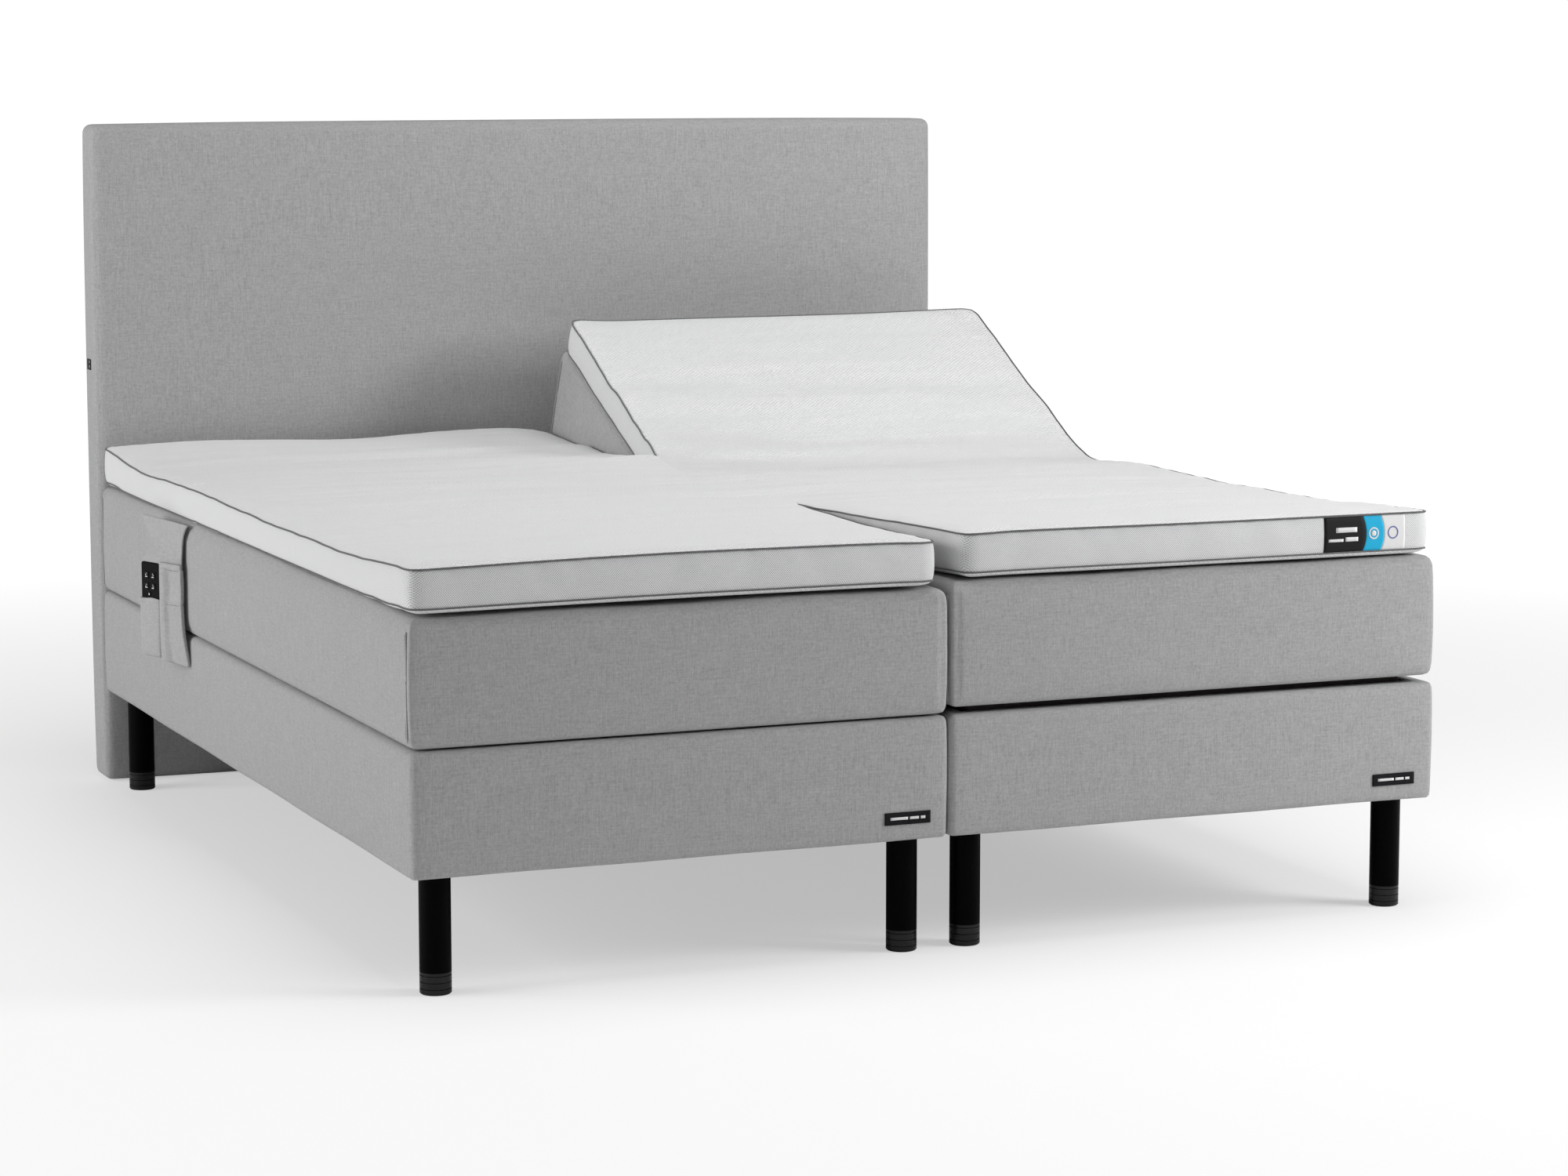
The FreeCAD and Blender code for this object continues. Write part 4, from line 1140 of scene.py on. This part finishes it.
def staples_tree():
    """Wire staples at an even pitch along the edges of a mesh."""
    board, given, made = geometry_tree("staples", [
        ("Pitch", "Float", 0.06), ("Wide", "Float", 0.010), ("Finish", "Material", None),
    ])
    size = board.add("ShaderNodeCombineXYZ", {0: given.outputs["Wide"], 1: 0.0011, 2: 0.0007})
    crown = board.add("GeometryNodeMeshCube", {"Size": size})
    end_tree(board, laid_along(board, given, crown.outputs["Mesh"], "X"), given, made)
    return board.tree


def threads_tree():
    """The thread ridges of a spindle, as rings at an even pitch along a line."""
    board, given, made = geometry_tree("spindle_threads", [
        ("Pitch", "Float", 0.004), ("Radius", "Float", 0.0072), ("Finish", "Material", None),
    ])
    ridge = board.add("GeometryNodeMeshCylinder", {
        "Vertices": 20, "Depth": 0.0014, "Radius": given.outputs["Radius"]})
    end_tree(board, laid_along(board, given, ridge.outputs["Mesh"], "Z"), given, made)
    return board.tree


# ---- headboard and bases -----------------------------------------------------------------------

HEADBOARD_CROWN = 0.0035
HEADBOARD_EDGE = 0.017


def make_headboard():
    low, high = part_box("headboard_upholstery")
    half = [(b - a) / 2 - HEADBOARD_CROWN for a, b in zip(low, high)]
    piece = grown("headboard_cover", TREES["padded_block"], [(0, 0, 0)], [], {
        "Half Size": tuple(half), "Centre": tuple((low + high) / 2), "Radius": HEADBOARD_EDGE,
        "Crown": HEADBOARD_CROWN, "Finish": FINISH["grey_weave"],
    })
    tidy_mesh(piece, weld=1e-6)
    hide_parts("headboard_upholstery")
    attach(piece, "root")


BASE_PROFILE = [
    (0.042, 0.1912), (0.012, 0.1902), (0.0045, 0.1915), (0.0012, 0.1950), (0.0002, 0.2020),
    (-0.0004, 0.2300), (-0.0010, 0.2700), (-0.0012, 0.3000), (-0.0009, 0.3350), (-0.0002, 0.3680),
    (0.0008, 0.3790), (0.0035, 0.3848), (0.0085, 0.3874), (0.0140, 0.3880), (0.0340, 0.3880),
    (0.0348, 0.3868), (0.0340, 0.3856), (0.0160, 0.3856), (0.0138, 0.3840), (0.0138, 0.2900),
    (0.0138, 0.1955), (0.0142, 0.1934), (0.0420, 0.1934),
]
BASE_CORNER = 0.012


def outline(low, high, radius, counts, turn_count=6):
    """A rectangle with round corners as a ring of (out, y) points, and each point's outward turn."""
    points = []
    radius = max(radius, 0.0004)
    sides = (
        ((low[0] + radius, low[1]), (high[0] - radius, low[1]), counts[0]),
        ((high[0], low[1] + radius), (high[0], high[1] - radius), counts[1]),
        ((high[0] - radius, high[1]), (low[0] + radius, high[1]), counts[0]),
        ((low[0], high[1] - radius), (low[0], low[1] + radius), counts[1]),
    )
    for index, (start, stop, count) in enumerate(sides):
        for i in range(count + 1):
            t = i / count
            points.append((start[0] + (stop[0] - start[0]) * t, start[1] + (stop[1] - start[1]) * t))
        centre = (
            high[0] - radius if index in (0, 1) else low[0] + radius,
            low[1] + radius if index in (0, 3) else high[1] - radius,
        )
        first = -math.pi / 2 + index * math.pi / 2
        for i in range(1, turn_count):
            a = first + i * math.pi / 2 / turn_count
            points.append((centre[0] + radius * math.cos(a), centre[1] + radius * math.sin(a)))
    return np.array(points)


def make_base_covers():
    for name, side in SIDES.items():
        rings = []
        for inset, z in BASE_PROFILE:
            low = (0.0015 + inset, inset)
            high = (0.9 - inset, 2.0 - inset)
            ring = outline(low, high, BASE_CORNER - inset, (30, 60))
            wave = 0.0
            if inset < 0.012:
                wave = 0.0005 * np.sin(ring[:, 1] * 13.0 + z * 20.0)
                wave = wave + 0.0004 * np.sin(ring[:, 0] * 17.0 + z * 9.0)
            rings.append(np.stack([ring[:, 0], ring[:, 1], np.full(len(ring), z) + wave], 1))
        size, count = len(rings[0]), len(rings)
        points = placed(np.concatenate(rings), side)
        faces = []
        for k in range(count):
            m = (k + 1) % count
            for e in range(size):
                f = (e + 1) % size
                faces.append((k * size + e, k * size + f, m * size + f, m * size + e))
        piece = make_piece(name + "_base_cover", points, faces, ["grey_weave"])
        tidy_mesh(piece)
        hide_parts(name + "_base_upholstery")
        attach(piece, "root")


# ---- sewn labels -------------------------------------------------------------------------------

def patch(columns, rows, corner_at):
    """A grid of points from corner_at(u, v), u and v from 0 to 1, and its faces."""
    points, faces = [], []
    for j in range(rows + 1):
        for i in range(columns + 1):
            points.append(corner_at(i / columns, j / rows))
    for j in range(rows):
        for i in range(columns):
            a = j * (columns + 1) + i
            faces.append((a, a + 1, a + columns + 2, a + columns + 1))
    return points, faces


def thick_patch(columns, rows, corner_at, thick):
    """A closed thin sheet that faces the foot: a patch and its copy behind, joined at the edge."""
    front, faces = patch(columns, rows, corner_at)
    back = [(x, y + thick, z) for x, y, z in front]
    count = len(front)
    both = list(faces) + [tuple(v + count for v in reversed(f)) for f in faces]
    rim = list(range(columns + 1))
    rim += [j * (columns + 1) + columns for j in range(1, rows + 1)]
    rim += [rows * (columns + 1) + i for i in range(columns - 1, -1, -1)]
    rim += [j * (columns + 1) for j in range(rows - 1, 0, -1)]
    for a, b in zip(rim, rim[1:] + rim[:1]):
        both.append((b, a, a + count, b + count))
    return front + back, both


TAG_WIDE = 0.08
TAG_BARS = ((0.12, 0.50), (0.54, 0.74), (0.78, 0.88))
TAG_BAR_HEIGHTS = (0.40, 0.62)


def make_tags():
    """Black woven tags on the bases' foot ends, each with a plain woven bar."""
    low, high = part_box("woven_tags")
    y = low.y - 0.0012
    for name, left in (("left", low.x), ("right", high.x - TAG_WIDE)):
        def face(u, v, lift=0.0):
            soft = 0.0006 * (1 - (2 * u - 1) ** 6) * (1 - (2 * v - 1) ** 4)
            return (left + TAG_WIDE * u, y - soft - lift, low.z + (high.z - low.z) * v)

        points, faces = thick_patch(24, 8, face, 0.0011)
        piece = make_piece(name + "_tag", points, faces, ["tag_weave"])
        tidy_mesh(piece)
        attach(piece, "root")
        if name == "left":
            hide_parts("woven_tags")
        bars = []
        for u0, u1 in TAG_BARS:
            v0, v1 = TAG_BAR_HEIGHTS
            bars.append(thick_patch(
                6, 2, lambda u, v: face(u0 + (u1 - u0) * u, v0 + (v1 - v0) * v, 0.0003), 0.0003))
        bar = make_piece(name + "_tag_bars", *merged(bars), ["mark_white"])
        tidy_mesh(bar)
        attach(bar, "root")


LABEL_X = (0.682, 0.756, 0.790, 0.836)
LABEL_Z = (0.6050, 0.6600)
LABEL_BARS = ((0.704, 0.744, 0.56, 0.70), (0.690, 0.718, 0.30, 0.38), (0.722, 0.746, 0.30, 0.42))


def make_label():
    """The sewn label on the right half's foot end: a dark, a cyan and a pale panel with plain marks."""
    rim = np.array(TOPPER_RIM[4:12])

    def on_band(x, share, lift):
        z = LABEL_Z[0] + (LABEL_Z[1] - LABEL_Z[0]) * share
        offset = float(np.interp(-z, -rim[:, 1], rim[:, 0]))
        flat = np.array([[x, TOPPER_INSET - offset - lift, z]])
        return shaped_topper(flat, 1)[0]

    def bowed(x, share):
        return x + 0.006 * (1 - (2 * share - 1) ** 2)

    panels = (("mark_black", 0, 1), ("mark_cyan", 1, 2), ("mark_white", 2, 3))
    for finish, a, b in panels:
        def at(u, v, lift=0.0008):
            left = LABEL_X[a] if a == 0 else bowed(LABEL_X[a], v)
            right = LABEL_X[b] if b == 3 else bowed(LABEL_X[b], v)
            return tuple(on_band(left + (right - left) * u, v, lift))

        points, faces = thick_patch(12, 14, at, 0.0016)
        add_label_piece("label_" + finish[5:], points, faces, finish)
    bars = []
    for x0, x1, v0, v1 in LABEL_BARS:
        bars.append(thick_patch(
            6, 2, lambda u, v: tuple(on_band(x0 + (x1 - x0) * u, v0 + (v1 - v0) * v, 0.0013)), 0.0008))
    add_label_piece("label_bars", *merged(bars), "mark_white")
    ring_piece("label_ring", on_band, 0.776, 0.5, 0.0095, 0.0072, "mark_white")
    ring_piece("label_disc", on_band, 0.776, 0.5, 0.0045, 0.0, "mark_white")
    ring_piece("label_lens", on_band, 0.813, 0.5, 0.0100, 0.0082, "mark_violet")


def ring_piece(name, on_band, x, share, outer, inner, finish):
    tall = LABEL_Z[1] - LABEL_Z[0]

    def at(u, v):
        r = inner + (outer - inner) * v
        a = 2 * math.pi * u
        return tuple(on_band(x + r * math.cos(a), share + r * math.sin(a) / tall, 0.0013))

    points, faces = thick_patch(28, 2, at, 0.0006)
    add_label_piece(name, points, faces, finish)


def add_label_piece(name, points, faces, finish):
    points = to_rest(np.array(points), 1, "foot")
    piece = make_piece(name, points, faces, [finish])
    tidy_mesh(piece, weld=1e-6)
    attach(piece, "right_foot")


# ---- caddies and remote controls ---------------------------------------------------------------

CADDY_TURN = math.radians(21.0)
CADDY_CORNER = (-0.916, 1.326)
CADDY_WIDE = 0.130
POUCH_FROM = 0.066
POUCH_THICK = 0.023


def caddy_points(local, side, turn=CADDY_TURN):
    """(along from the foot edge, inward, z) points of a caddy, in the row frame at rest."""
    local = np.asarray(local, float)
    c, s = math.cos(turn), math.sin(turn)
    x = CADDY_CORNER[0] + local[:, 1] * c - local[:, 0] * s
    y = CADDY_CORNER[1] + FOOT_Y + local[:, 1] * s + local[:, 0] * c
    return np.stack([x * -side, y, local[:, 2]], 1)


def loft(loops, close_start=True, close_end=True):
    """A skin over rings of points that all have the same count."""
    size = len(loops[0])
    points = np.concatenate(loops)
    faces = []
    for k in range(len(loops) - 1):
        for e in range(size):
            f = (e + 1) % size
            faces.append((k * size + e, k * size + f, (k + 1) * size + f, (k + 1) * size + e))
    if close_start:
        faces.append(tuple(reversed(range(size))))
    if close_end:
        faces.append(tuple((len(loops) - 1) * size + e for e in range(size)))
    return points, faces


def flat_loop(along, inward, z, radius, counts=(10, 3)):
    """A rounded rectangle ring at height z, from (along) and (inward) pairs."""
    ring = outline((along[0], inward[0]), (along[1], inward[1]), radius, counts, 4)
    return np.stack([ring[:, 0], ring[:, 1], np.full(len(ring), z)], 1)


def add_caddy_piece(name, side, label, points, faces, replaces=False):
    flat = caddy_points(points, side)
    rest = rolled(flat, BACK_HINGE, BACK_AT_REST[side])
    piece = make_piece(name + "_" + label, rest, faces, ["caddy_weave"], woven_at=flat)
    tidy_mesh(piece)
    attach(piece, name + "_back")
    if replaces:
        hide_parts(name + "_remote_caddy")
    return piece


def make_caddies():
    for name, side in SIDES.items():
        make_pouch(name, side)
        make_flap(name, side)
        make_strap(name, side)
        make_key_marks(name, side)


POUCH_WALL = 0.0022
POUCH_ROWS = (
    (0.3405, 0.0085, 0.0), (0.3415, 0.004, 0.0), (0.345, 0.0012, 0.0005), (0.352, 0.0, 0.001),
    (0.370, 0.0, 0.002), (0.395, 0.0, 0.0022), (0.420, 0.0, 0.0015), (0.438, 0.0, 0.0006),
    (0.4395, -0.0006, 0.0004), (0.4475, -0.0008, 0.0002), (0.4495, 0.0, 0.0),
)
POUCH_LINING = (0.4488, 0.430, 0.380, 0.3512)


def make_pouch(name, side):
    """The pocket that the remote stands in, open at the top, with a turned hem."""
    along = (POUCH_FROM - 0.0005, CADDY_WIDE)
    inward = (0.0, POUCH_THICK)
    loops = []
    for z, pull, bow in POUCH_ROWS:
        span = (along[0] + pull * 1.5, along[1] - pull * 2.5)
        ring = flat_loop(span, (inward[0] + pull, inward[1] - pull * 0.6), z, 0.006)
        middle = np.sin(math.pi * np.clip((ring[:, 0] - along[0]) / (along[1] - along[0]), 0, 1))
        ring[:, 1] -= bow * middle * (ring[:, 1] < 0.008)
        ring[:, 2] += 0.0015 * np.sin(ring[:, 0] * 90.0) * (z > 0.43)
        loops.append(ring)
    for z in POUCH_LINING:
        lining = [(a + POUCH_WALL, b - POUCH_WALL) for a, b in (along, inward)]
        loops.append(flat_loop(*lining, z, 0.004))
    points, faces = loft(loops)
    piece = add_caddy_piece(name, side, "caddy_pouch", points, faces, replaces=True)


FLAP_ROWS = (
    (0.3335, 0.0020, -0.0110, 0.0040), (0.3345, 0.0042, -0.0140, 0.0038),
    (0.3380, 0.0056, -0.0150, 0.0034), (0.3450, 0.0064, -0.0142, 0.0028),
    (0.3550, 0.0068, -0.0120, 0.0020), (0.3700, 0.0072, -0.0085, 0.0012),
    (0.3850, 0.0075, -0.0055, 0.0006), (0.4000, 0.0078, -0.0030, 0.0002),
    (0.4150, 0.0080, -0.0014, 0.0000), (0.4300, 0.0081, -0.0005, 0.0000),
    (0.4445, 0.0082, 0.0000, 0.0000), (0.4460, 0.0060, 0.0010, 0.0000),
    (0.4475, 0.0082, 0.0000, 0.0000), (0.4580, 0.0085, -0.0004, 0.0000),
    (0.4700, 0.0086, -0.0008, 0.0000), (0.4820, 0.0087, -0.0006, 0.0000),
    (0.4950, 0.0086, 0.0000, 0.0000), (0.5080, 0.0080, 0.0000, 0.0000),
    (0.5100, 0.0058, 0.0010, 0.0000), (0.5120, 0.0058, 0.0010, 0.0000),
    (0.5185, 0.0050, 0.0010, 0.0000),
)


def make_flap(name, side):
    """The folded side of the caddy, towards the foot, with the hems that close it."""
    loops = []
    for z, thick, start, curl in FLAP_ROWS:
        span = (start, POUCH_FROM + 0.0002)
        ring = flat_loop(span, (0.0005, 0.0005 + thick), z, 0.0026, (16, 3))
        across = np.clip((ring[:, 0] - start) / (POUCH_FROM - start), 0, 1)
        crease = np.exp(-((across - 0.62) / 0.09) ** 2) - 0.9 * np.exp(-((across - 0.80) / 0.16) ** 2)
        ring[:, 1] += 0.0036 * crease * (ring[:, 1] < 0.004) * (z < 0.509)
        dent = np.exp(-((z - 0.478) / 0.016) ** 2) * np.exp(-((across - 0.45) / 0.22) ** 2)
        ring[:, 1] += 0.0040 * dent * (ring[:, 1] < 0.005)
        ring[:, 1] += curl * (1 - across * 0.4)
        ring[:, 2] += 0.006 * across * (z < 0.40) * (0.40 - z) / 0.065
        loops.append(ring)
    points, faces = loft(loops)
    piece = add_caddy_piece(name, side, "caddy_flap", points, faces)


def make_strap(name, side):
    """The strap from the pouch up to its tab between topper and mattress."""
    loops = []
    heights = np.concatenate([np.linspace(0.508, 0.586, 16), np.linspace(0.588, 0.5925, 4)])
    for z in heights:
        t = (z - 0.508) / 0.0845
        spread = smoothstep(np.array([t]))[0]
        along = (0.004 + 0.004 * t - 0.030 * t ** 5, CADDY_WIDE - 0.004 + 0.066 * spread ** 1.5)
        lean = 0.0058 + 0.0012 * spread
        ring = flat_loop(along, (lean, lean + 0.0035), z, 0.0016, (26, 2))
        fold = np.exp(-((ring[:, 0] - 0.068 - 0.02 * t) / 0.006) ** 2) * (1 - t) * 0.0022
        ring[:, 1] -= fold
        loops.append(ring)
    points, faces = loft(loops)
    turned = np.radians(21.0 - 13.0 * smoothstep(np.clip((points[:, 2] - 0.509) / 0.05, 0, 1)))
    flat = np.concatenate([caddy_points(points[i:i + 1], side, turned[i]) for i in range(len(points))])
    zone = (Vector((0, 0, 0.685)), Vector((0, 0, 0.505)))
    if side > 0:
        angle = BACK_AT_REST[side]
        lean = Matrix.Rotation(angle * 0.75, 3, "X")
        base = Vector((0, BACK_HINGE.y + 0.1, HINGE_Z))
        zone = tuple(base + lean @ Vector((0, 0, end.z - HINGE_Z)) for end in zone)
    rest = flat
    for _ in range(60):
        rest = rolled(flat, BACK_HINGE, BACK_AT_REST[side] * zone_weight(rest, zone))
    piece = make_piece(name + "_caddy_strap", rest, faces, ["caddy_weave"], woven_at=flat)
    tidy_mesh(piece)
    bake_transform(piece)


def make_key_marks(name, side):
    """Small pale marks on the remote's keys: a raised or lowered bed end, and a diamond."""
    middle = (POUCH_FROM + CADDY_WIDE) / 2
    face = 0.0030 - 0.0012 - 0.00025
    keys = {"head_up": (-0.010, 0.491), "foot_up": (0.010, 0.491), "head_down": (-0.010, 0.471),
            "foot_down": (0.010, 0.471), "light": (0.002, 0.4565)}
    for key, (along, z) in keys.items():
        body = name + "_" + key
        if key == "light":
            shapes = [[(0, -0.0026), (0.0016, 0), (0, 0.0026), (-0.0016, 0)]]
        else:
            tilt = -1 if key.startswith("head") else 1
            up = key.endswith("up")
            bar = [(-0.0034, -0.0034), (0.0034, -0.0034), (0.0034, -0.0022), (-0.0034, -0.0022)]
            lift = 0.0018 if up else 0.0004
            end = [(0.0, -0.0012), (tilt * 0.0032, -0.0012 + lift), (tilt * 0.0032, lift), (0.0, 0.0)]
            low, tip = (0.0026, 0.0044) if up else (0.0034, 0.0016)
            arrow = [(-0.0012, low), (0.0012, low), (0, tip)]
            shapes = [bar, end, arrow]
        points, faces = [], []
        for shape in shapes:
            start = len(points)
            area = sum(a[0] * b[1] - b[0] * a[1] for a, b in zip(shape, shape[1:] + shape[:1]))
            shape = shape if area > 0 else shape[::-1]
            for depth in (face, face + 0.0004):
                points.extend((middle + along + u, depth, z + v) for u, v in shape)
            count = len(shape)
            faces.append(tuple(start + i for i in range(count)))
            faces.append(tuple(start + count + i for i in reversed(range(count))))
            for i in range(count):
                j = (i + 1) % count
                faces.append((start + j, start + i, start + count + i, start + count + j))
        flat = caddy_points(points, side)
        rest = rolled(flat, BACK_HINGE, BACK_AT_REST[side])
        piece = make_piece(name + "_mark_" + key, rest, faces, ["mark_white"], smooth=False)
        tidy_mesh(piece)
        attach(piece, body)


# ---- stitches and fixings ----------------------------------------------------------------------

def line_points(start, stop, count):
    start, reach = np.array(start), np.array(stop) - np.array(start)
    return [tuple(start + reach * i / (count - 1)) for i in range(count)]


def chain(lists):
    """Points and edges for several open lines."""
    points, edges = [], []
    for line in lists:
        start = len(points)
        points.extend(line)
        edges.extend((start + i, start + i + 1) for i in range(len(line) - 1))
    return points, edges


def make_fixings():
    """Screws in the brackets, staples under the bases, and the spindles' threads."""
    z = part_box("dust_covers")[0].z - 0.0004
    ring = ((0.034, 0.034), (0.866, 0.034), (0.866, 1.966), (0.034, 1.966))
    for name, side in SIDES.items():
        corners = [(side * out, FOOT_Y + y, z) for out, y in ring]
        lines = [line_points(a, b, 12) for a, b in zip(corners, corners[1:] + corners[:1])]
        points, edges = chain(lines)
        piece = grown(name + "_staples", TREES["staples"], points, edges,
                      {"Pitch": 0.055, "Wide": 0.010, "Finish": FINISH["zinc_steel"]})
        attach(piece, "root")
        lines = []
        for way, hinge in ((-1, FOOT_HINGE), (1, BACK_HINGE)):
            ends = ((BACK_HINGE.y + FOOT_HINGE.y) / 2 + way * 0.082, hinge.y - way * 0.062)
            start, stop = [(side * 0.45, y, 0.3) for y in ends]
            lines.append(line_points(start, stop, 8))
        points, edges = chain(lines)
        piece = grown(name + "_spindle_threads", TREES["threads"], points, edges,
                      {"Pitch": 0.003, "Radius": 0.0074, "Finish": FINISH["zinc_steel"]})
        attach(piece, "root")
    points = []
    for side in (-1, 1):
        for out in (0.25, 0.65):
            for z in (0.25, 0.31):
                for dx in (-0.017, 0.017):
                    points.append((side * out + dx, HEAD_Y + 0.0046, z))
    piece = grown("bracket_screws", TREES["screws"], points, [],
                  {"Radius": 0.0045, "Turn": (-math.pi / 2, 0, 0), "Finish": FINISH["zinc_steel"]})
    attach(piece, "root")


def make_seam_stitches():
    """Stitches beside the corner seams of the mattresses' foot ends and along the caddies' hems."""
    for name, side in SIDES.items():
        lines = []
        for out in (PAD_INNER, PAD_OUTER[side]):
            away = 1 if out > 0.5 else -1
            flat = [(out + away * 0.0008, 0.0185, z) for z in np.linspace(0.41, 0.565, 20)]
            place = bent(placed(np.array(flat), side), side, "foot")
            lines.append([tuple(p) for p in place])
        points, edges = chain(lines)
        piece = grown(name + "_seam_stitches", TREES["stitches"], points, edges, {
            "Pitch": 0.005, "Length": 0.0034, "Thick": 0.0005, "Finish": FINISH["thread_grey"]})
        blend_half(piece)
        lines = []
        for z in (0.4435, 0.5065):
            local = [(a, 0.0002, z) for a in np.linspace(0.006, 0.060, 8)]
            place = rolled(caddy_points(local, side), BACK_HINGE, BACK_AT_REST[side])
            lines.append([tuple(p) for p in place])
        local = [(a, -0.0006, 0.4415) for a in np.linspace(POUCH_FROM + 0.006, CADDY_WIDE - 0.006, 8)]
        place = rolled(caddy_points(local, side), BACK_HINGE, BACK_AT_REST[side])
        lines.append([tuple(p) for p in place])
        points, edges = chain(lines)
        piece = grown(name + "_caddy_stitches", TREES["stitches"], points, edges, {
            "Pitch": 0.004, "Length": 0.0026, "Thick": 0.0004, "Finish": FINISH["thread_grey"]})
        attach(piece, name + "_back")


def finish_cad_nodes():
    """Give every carried-over sub-part its finish by its slot."""
    for node in frame["nodes"].values():
        for index, material in enumerate(node.data.materials):
            key = material.name.split(".")[0] if material else ""
            if key in FINISH:
                node.data.materials[index] = FINISH[key]


GROUPS = make_groups()
FINISH = make_finishes()
TREES = {
    "padded_block": padded_block_tree(),
    "stitches": stitches_tree(),
    "screws": screws_tree(),
    "staples": staples_tree(),
    "threads": threads_tree(),
}
make_camera()
make_studio()
make_headboard()
make_base_covers()
make_mattresses()
make_topper()
make_tags()
make_label()
make_caddies()
make_seam_stitches()
make_fixings()
finish_cad_nodes()
